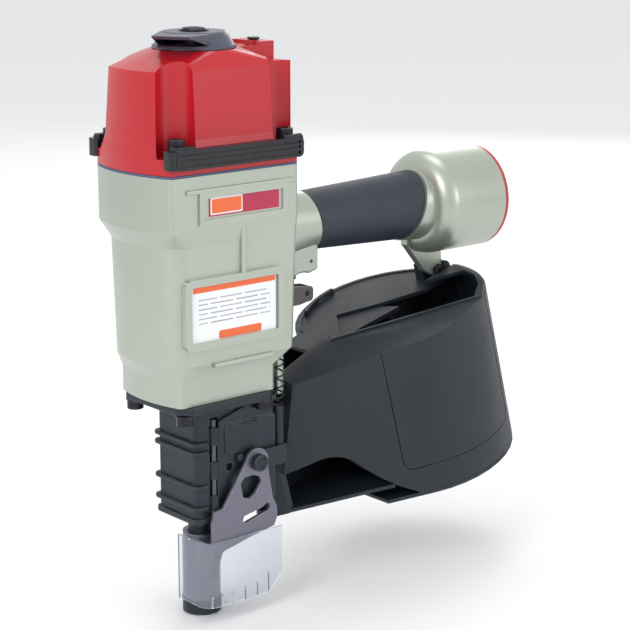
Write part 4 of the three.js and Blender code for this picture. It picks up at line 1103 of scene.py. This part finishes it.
def makeTrigger():
    s = triggerSizes
    x, z = s["pin"]
    foot = s["foot"]
    rear = s["leverPin"][0] + 5.2
    outline = (
        arc(5, s["pin"], 0, 180, 10)
        + [(x - 1, foot + 14), (x + 5, foot + 1)]
        + arc(30, (x + 16, foot + 30), 250, 285, 10)
        + [
            (rear - 1.5, foot + 1.6),
            (rear, foot + 3.4),
            (rear, foot + 9.6),
            (rear - 1.5, foot + 11.2),
            (x + 8, foot + 13),
        ]
    )
    trigger = plate("fingerTrigger", outline, (-s["half"], s["half"]), "y")
    soften(trigger, 1.0, 3, 40)
    inner = s["half"] - s["wall"]
    carve(
        trigger,
        block("slotFront", (40, x + 9), (-inner, inner), (foot - 3, z + 8)),
        block("slotTop", (x - 1, rear - 1.5), (-inner, inner), (foot + 2.4, z + 8)),
        rod("pinBore", "y", 2.5, (-8, 8), s["pin"], 32),
        rod("leverBore", "y", 1.8, (-8, 8), s["leverPin"], 32),
    )
    finish(soften(trigger, 0.25, 2, 40), "triggerNylon", "trigger_body", ["trigger"])
    pin = rod("triggerPin", "y", 2, (-13.6, 13.6), s["pin"], 32)
    finish(soften(pin, 0.4, 2), "boltSteel", "tool", ["trigger_pin"])
    leverPin = rod("leverPin", "y", 1.5, (-6.4, 6.4), s["leverPin"], 24)
    finish(soften(leverPin, 0.3, 2), "boltSteel", "trigger_body", ["lever_pin"])
    lever = taken("contact_lever", "contactLever")
    finish(soften(lever, 0.25, 2), "barSteel", "lever", ["contact_lever"])
    housing = taken("valve_housing", "valveHousing")
    finish(soften(housing, 0.3, 2), "plugBrass", "tool", ["valve_housing"])
    stem = rod("valveStem", "z", 2.5, reach("valve_stem", "z"), (76, 0), 32)
    finish(soften(stem, 0.5, 3), "barSteel", "stem", ["valve_stem"])


makeTrigger()
print("trigger done")


# Nose plate, its bolts, the nose body and its door

noseSizes = {
    "plateEar": 9,
    "ribs": (74.5, 88.5, 110.5, 116.5),
    "ribHeight": 3,
    "ribProud": 2.4,
    "corner": 3.5,
}


def makeNose():
    s = noseSizes
    low, high = reach("nose_plate", "x")
    half = reach("nose_plate", "y")[1]
    foot, top = reach("nose_plate", "z")
    ear = s["plateEar"]
    octagon = [
        (low + ear, -half), (high - ear, -half), (high, ear - half), (high, half - ear),
        (high - ear, half), (low + ear, half), (low, half - ear), (low, ear - half),
    ]
    slab = plate("nosePlate", octagon, (foot, top))
    carve(slab, rod("nailHole", "z", 4.75, (foot - 1, top + 1), (0, 0), 32))
    soften(slab, 0.9, 3)
    finish(slab, "noseCoating", "tool", ["nose_plate"])

    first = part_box("plate_bolt_1")
    boltFoot, boltTop = reach("plate_bolt_1", "z")
    middle = ((first[0] + first[1]) / 2 - spot(0, 0, 0)) / mm
    at = (middle.x, middle.y)
    head = rod("plateBolt1", "z", 5.2, (boltFoot, foot - 0.3), at, 48)
    choose(head, lambda centre, normal: normal.z < -0.9)
    bpy.ops.mesh.inset(thickness=1.1 * mm)
    bpy.ops.mesh.extrude_region_move(TRANSFORM_OT_translate={"value": (0, 0, 0.0007)})
    bpy.ops.object.mode_set(mode="OBJECT")
    weld(
        head,
        rod("washer", "z", 5.9, (foot - 1.6, foot - 0.3), at, 48),
        rod("shank", "z", 3, (foot - 2, boltTop), at, 24),
    )
    soften(head, 0.4, 2)
    for i in range(2, 5):
        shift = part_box(f"plate_bolt_{i}")[0] - first[0]
        finish(copyTo(head, f"plateBolt{i}", shift), "boltSteel", "tool", [f"plate_bolt_{i}"])
    finish(head, "boltSteel", "tool", ["plate_bolt_1"])

    noseTop = reach("nose_body", "z")[1]
    body = roundedBar("noseBody", (-18, 45), (-20.5, 20.5), (65.5, noseTop), s["corner"], "z")
    parts = [rod("tip", "z", 8.25, (12.5, 70), (0, 0), 64)]
    for z in s["ribs"]:
        rib = roundedBar(
            "rib",
            (-18 - s["ribProud"], -8),
            (-20.5 - s["ribProud"], 20.5 + s["ribProud"]),
            (z, z + s["ribHeight"]),
            4,
            "z",
        )
        parts.append(soften(rib, 1.0, 3, 60))
    parts.append(soften(roundedBar("lip", (-19.6, -6), (-22, 22), (65.5, 69.5), 4, "z"), 0.8, 2, 60))
    parts.append(
        hull(
            "shelf",
            [
                (x, y, z)
                for y in (-22.5, -18)
                for x, z in ((-2, 128), (-2, 131), (30, 137), (30, 140), (44, 140), (44, 137.5))
            ],
        )
    )
    weld(body, *parts)
    carve(
        body,
        rod("channel", "z", 4.75, (11, noseTop + 1), (0, 0), 32),
        block("doorRoom", (-2, 46), (-24, -14.2), (71.5, 127.4)),
        block("nailSlot", (0, 46), (-2.6, 2.6), (73.5, 123.4)),
        block("pawlSlot", (16, 46), (2.4, 24), (87, 105)),
        rod("hingeRoom", "z", 3.7, (70.5, 128.4), (-4.4, -19.9), 32),
        rod("pinRoom", "z", 2.8, (70.5, 133.4), (-4.4, -19.9), 24),
    )
    soften(body, 0.5, 2, 40)
    finish(body, "noseCoating", "tool", ["nose_body"])

    door = roundedBar("noseDoor", (-1.7, 44.7), (-20.5, -14.5), (71.8, 127.1), 0.8, "y")
    pitch = (127.1 - 71.8) / 5
    for i in (0, 2, 4):
        weld(door, rod("knuckle", "z", 3.2, (71.8 + i * pitch, 71.8 + (i + 1) * pitch), (-4.4, -19.9), 32))
    panel = roundedBar("panel", (4, 33), (-21.3, -20), (108, 125.5), 1.5, "y")
    weld(door, soften(panel, 0.3, 2))
    carve(
        door,
        rod("pinBore", "z", 2, (70, 129), (-4.4, -19.9), 24),
        rod("sight", "y", 2.8, (-24, -17), (7.5, 99), 32),
    )
    soften(door, 0.45, 2, 40)
    finish(door, "noseCoating", "tool", ["nose_cover"])
    pin = rod("doorPin", "z", 1.7, reach("cover_pin", "z"), (-4.4, -19.9), 24)
    finish(soften(pin, 0.5, 3), "barSteel", "tool", ["cover_pin"])
    stud = rod("doorStud", "y", 2.6, (-23.4, -19), (15, 104), 32)
    finish(soften(stud, 0.8, 3), "noseCoating", "tool")


makeNose()
print("nose done")


# Contact foot, its arm and the clear guard

footSizes = {
    "outline": [
        (-10.4, 30), (-7, 30), (-7, 36), (-3, 46), (-1, 47), (20, 51.5),
        (39, 54.5), (41.5, 60), (41.5, 67), (38, 74), (34.5, 94),
    ],
    "eye": (25.5, 100, 9),
    "window": [(12, 88), (15, 91.5), (22, 92), (27, 90), (28.5, 86.5), (24, 80), (19, 77), (14, 78.5)],
    "slot": [(13.5, 63), (15.5, 61.5), (35, 66.5), (35.5, 69.5), (33.5, 71), (28, 68.5), (14.5, 66)],
}


def makeContactParts():
    s = footSizes
    outer, inner = -26.4, -23.9
    top = reach("contact_foot", "z")
    footTop = 53.8
    tube = rod("contactFoot", "z", 11.75, (top[0], footTop), (0, 0), 64)
    x, z, radius = s["eye"]
    outline = s["outline"] + arc(radius, (x, z), -10, 165, 16) + [(-2, 75), (-9, 74), (-10.4, 68)]
    bracket = plate("bracket", outline, (outer, inner), "y")
    carve(
        bracket,
        plate("window", s["window"], (outer - 1, inner + 1), "y"),
        plate("slot", s["slot"], (outer - 1, inner + 1), "y"),
        rod("eyeBore", "y", 3.3, (outer - 1, inner + 1), (x, z), 32),
    )
    soften(bracket, 0.45, 2, 40)
    bridge = block("bridge", (-8.5, 8.5), (inner - 0.5, -5), (47.5, footTop - 2))
    ear = block("ear", (-10.2, -7.4), (inner - 0.5, -8), (31, footTop - 2))
    weld(tube, bridge, ear, bracket)
    carve(tube, rod("footBore", "z", 8.75, (-1, footTop + 1), (0, 0), 64))
    soften(tube, 0.4, 2, 45)
    finish(tube, "footSteel", "contact_safety", ["contact_foot"])
    tip = rod("footTip", "z", 12.5, (top[0] + 0.2, 9.6), (0, 0), 64)
    carve(tip, rod("tipBore", "z", 11.6, (-1, 12), (0, 0), 64))
    finish(soften(tip, 0.2, 2), "noseCoating", "contact_safety")

    bolt = rod("armBolt", "y", 5.5, (-30.7, outer - 0.3), (x, z), 48)
    choose(bolt, lambda centre, normal: normal.y < -0.9)
    bpy.ops.mesh.inset(thickness=1.6 * mm)
    bpy.ops.mesh.extrude_region_move(TRANSFORM_OT_translate={"value": (0, 0.0012, 0)})
    bpy.ops.object.mode_set(mode="OBJECT")
    weld(bolt, rod("boltShank", "y", 3, (outer - 1, -21.6), (x, z), 24))
    finish(soften(bolt, 0.5, 3), "noseCoating", "contact_safety", ["arm_bolt"])

    arm = taken("contact_arm", "contactArm")
    finish(soften(arm, 0.5, 2), "noseCoating", "contact_safety", ["contact_arm"])

    face = -28.3
    corner = 9
    centre = (-17 + corner, face + corner)
    thick = 1.6
    skirt = plate(
        "noseGuard",
        [(44, face + thick)]
        + arc(corner - thick, centre, 270, 180, 12)
        + [(-17 + thick, 2), (-17, 2)]
        + arc(corner, centre, 180, 270, 12)
        + [(44, face)],
        (11, footTop),
    )
    trim = plate("trim", [(27, 9), (34, 12), (40, 17.5), (44.2, 26), (46, 26), (46, 9)], (-40, 10), "y")
    slits = []
    for i, place in enumerate((-12, -4, 4, 14, 24, 33)):
        rise = (14, 14, 14, 15, 16, 20)[i]
        slits.append(block("slit", (place - 0.3, place + 0.3), (-40, -20), (9, rise + 4)))
        slits.append(rod("slitEnd", "y", 0.9, (-40, -20), (place, rise + 4), 16))
    carve(skirt, trim, *slits)
    finish(soften(skirt, 0.3, 2, 50), "guardPlastic", "contact_safety", ["nose_guard"])


makeContactParts()
print("contact foot done")


# Nail feeder on the far side of the nose


def makeFeeder():
    cylinder = taken("feed_cylinder", "feedCylinder")
    finish(soften(cylinder, 1.2, 3), "noseCoating", "tool", ["feed_cylinder"])
    for cadName, name, finishName, body in (
        ("feed_piston", "feedPiston", "barSteel", "feeder"),
        ("pawl_pin", "pawlPin", "barSteel", "feeder"),
        ("feed_pawl", "feedPawl", "barSteel", "pawl"),
        ("magazine_hanger", "magazineHanger", "castEnamel", "tool"),
        ("hanger_bolt", "hangerBolt", "boltSteel", "tool"),
    ):
        piece = taken(cadName, name)
        finish(soften(piece, 0.4 if name != "magazineHanger" else 1.2, 3), finishName, body, [cadName])


makeFeeder()
print("feeder done")


# Magazine, laid out in its own leaning frame and then stood in place

magazineSizes = {
    "radius": 66,
    "wall": 2.5,
    "floor": 2.9,
    "neck": (-116, -1.5),
    "runOn": 24,  # the neck is made past its mouth and cut off upright
    "mouth": 59.5,
    "crease": (102.6, -167, 0.15, 114.4),  # level, at this turn, rise for each degree, highest
    "rim": [(-62, -8, 114.2), (30.5, -58, 115.4), (50, -42, 116), (58.5, -28, 116), (62, -12, 116)],
    "slot": [(-60, -5), (-30, 26), (3, 14), (34, -1), (57, -15), (55, -28), (46, -40.5), (29.5, -52.5)],
    "lip": 1.1,
    "panel": (-52.7, 38, 21, 130),
    "groove": 0.55,
    "hinge": (70.5, 0),
    "pinMiddle": 50,
}

swing = next(joint for joint in frame["joints"] if joint["name"] == "cover_swing")
upWay = Vector(swing["axis"]).normalized()
if upWay.z < 0:
    upWay = -upWay
alongWay = Vector((0, 1, 0)).cross(upWay)
turnIn = Matrix((alongWay, (0, 1, 0), upWay)).transposed()
pinLow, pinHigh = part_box("magazine_pin")
pinReach = Vector((magazineSizes["hinge"][0], magazineSizes["hinge"][1], magazineSizes["pinMiddle"]))
magazineMiddle = (pinLow + pinHigh) / 2 - turnIn @ (pinReach * mm)


def stand(piece):  # from the magazine's own frame, laid out round the driver's zero, to its real place
    pick(piece)
    turned = Matrix.Translation(magazineMiddle) @ turnIn.to_4x4()
    piece.matrix_world = turned @ Matrix.Translation(-spot(0, 0, 0))
    bpy.ops.object.transform_apply(location=True, rotation=True, scale=True)
    return piece


def creaseLevel(x, y):
    foot, start, rise, highest = magazineSizes["crease"]
    turn = math.degrees(math.atan2(y, x))
    turn = turn if turn < 90 else turn - 360
    return min(foot + (max(turn, -178) - start) * rise, highest)


def coverPath(inset=0.0):  # the near wall seen from above, from in front of the mouth round to the hinge
    s = magazineSizes
    mouth = Vector(s["neck"])
    turn = math.atan2(mouth.y, mouth.x) + 2 * math.pi + math.acos(s["radius"] / mouth.length)
    normal = Vector((math.cos(turn), math.sin(turn)))
    along = Vector((normal.y, -normal.x))
    start = mouth + along * s["runOn"] - normal * inset
    end = normal * (s["radius"] - inset)
    straight = [start.lerp(end, i / 8) for i in range(8)]
    return [(p.x, p.y) for p in straight] + arc(
        s["radius"] - inset, (0, 0), math.degrees(turn) - 360, -0.3, 44
    )


def coverSolid(name, inset, foot, edge):
    path = coverPath(inset)
    far = [(path[0][0], edge), (path[-1][0], edge)]
    points = level(path + far, foot)
    points += [(x, y, creaseLevel(x, y) - inset) for x, y in path]
    points += [(path[0][0], edge, creaseLevel(*path[0]) - inset)]
    rim = magazineSizes["rim"]
    points += [(x * (1 - inset / 90), y * (1 - inset / 60), z - inset) for x, y, z in rim]
    points += [(rim[0][0], edge, rim[0][2] - inset), (rim[-1][0] - inset, edge, rim[-1][2] - inset)]
    return hull(name, points)


def makeSeam():
    left, right, low, high = magazineSizes["panel"]
    deep = magazineSizes["groove"]
    seam = roundedBar("seam", (left, right), (-80, -20), (low, high), 7)
    carve(
        seam,
        roundedBar(
            "seamInner", (left + deep, right - 2 * deep), (-90, -10), (low + deep, high - deep), 6.5
        ),
    )
    carve(seam, plate("seamDepth", coverPath(deep) + [(coverPath(deep)[-1][0], 0)], (0, 130)))
    return seam


def makeCover():
    s = magazineSizes
    cover = coverSolid("magazineCover", 0, s["floor"], -0.3)
    near, far = s["rim"][0], s["rim"][1]
    lip = hull(
        "lip",
        [
            (x + dx, y + dy, z + dz)
            for x, y, z in (near, far)
            for dx, dy in ((0.4, -0.6), (1.6, 0.9))
            for dz in (-2, s["lip"])
        ],
    )
    weld(cover, lip)
    slot = plate("slot", s["slot"], (90, 130))
    window = plate(
        "window",
        [(-150, 0.5), (-43, 0.5), (-48, 5), (-57, 12), (-66, 21), (-75, 32)]
        + arc(22, (-97, 25), 35, 100, 12)
        + [(-114, 44.5), (-150, 40)],
        (-90, 10),
        "y",
    )
    carve(cover, coverSolid("space", s["wall"], -8, 12), slot, window, makeSeam())
    x, y = s["hinge"]
    for foot in (14.3, 62.3):
        knuckle = rod("knuckle", "z", 3.8, (foot, foot + 23.4), (x, y), 32)
        web = block("web", (s["radius"] - 1.6, x), (-3.8, -0.3), (foot, foot + 23.4))
        weld(cover, knuckle, web)
    farSide = block("farSide", (-200, s["radius"] + 0.1), (-0.4, 80), (-20, 200))
    carve(cover, farSide, rod("pinBore", "z", 2, (5, 130), (x, y), 24))
    stand(cover)
    carve(cover, block("aheadOfMouth", (-90, s["mouth"]), (-200, 200), (-50, 400)))
    soften(cover, 0.45, 2, 35)
    finish(cover, "magazineNylon", "cover", ["magazine_cover"], 40)


def makeMagazineBack():
    back = taken("magazine_back", "magazineBack")
    corner = [(-46, 0), (-24, 29), (3, 14), (34, 0)]
    ledge = stand(plate("ledge", [(-60, 0.5), (-50, 24), (-20, 30), (2, 16), (8, 0.5)], (104, 107)))
    flap = stand(plate("flap", arc(60.5, (0, 0), 90, 126, 10) + arc(58, (0, 0), 126, 90, 10), (106, 113)))
    roll = stand(
        weld(rod("roll", "y", 6.2, (4, 20), (57, 113.6)), rod("rollEnd", "y", 3.4, (3, 5), (57, 113.6), 32))
    )
    step = stand(plate("step", arc(62.4, (0, 0), 8, 150, 30) + arc(61.2, (0, 0), 150, 8, 30), (108, 109.8)))
    carve(back, stand(plate("slotFar", corner, (100, 125))))
    weld(back, ledge, flap, roll, step)
    low, high = ((v - spot(0, 0, 0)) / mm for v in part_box("hanger_bolt"))
    carve(
        back,
        rod(
            "boltRoom", "y", 2.8, (low.y - 1, high.y + 1), ((low.x + high.x) / 2, (low.z + high.z) / 2), 24
        ),
        block("headRoom", (low.x - 1, high.x + 1), (low.y - 1, low.y + 12.4), (low.z - 1, high.z + 1)),
    )
    finish(soften(back, 0.5, 2, 35), "magazineNylon", "tool", ["magazine_back"])
    for cadName, name, finishName, body in (
        ("magazine_tray", "magazineTray", "triggerNylon", "tray"),
        ("magazine_pin", "magazinePin", "barSteel", "tool"),
    ):
        piece = taken(cadName, name)
        finish(soften(piece, 0.4, 2), finishName, body, [cadName])


makeCover()
makeMagazineBack()
print("magazine done")


# What stays as the frame has it, hidden inside the tool

innerFinishes = {
    "cylinder_sleeve": "barSteel",
    "piston_bumper": "bumperRubber",
    "piston": "barSteel",
    "piston_ring": "bumperRubber",
    "driver_blade": "barSteel",
    "head_valve": "triggerNylon",
    "head_valve_spring": "barSteel",
    "contact_spring": "boltSteel",
}

for cadName, finishName in innerFinishes.items():
    part = frame["nodes"][cadName]
    part.data.materials.clear()
    part.data.materials.append(finishes[finishName])

print("inner pieces dressed")
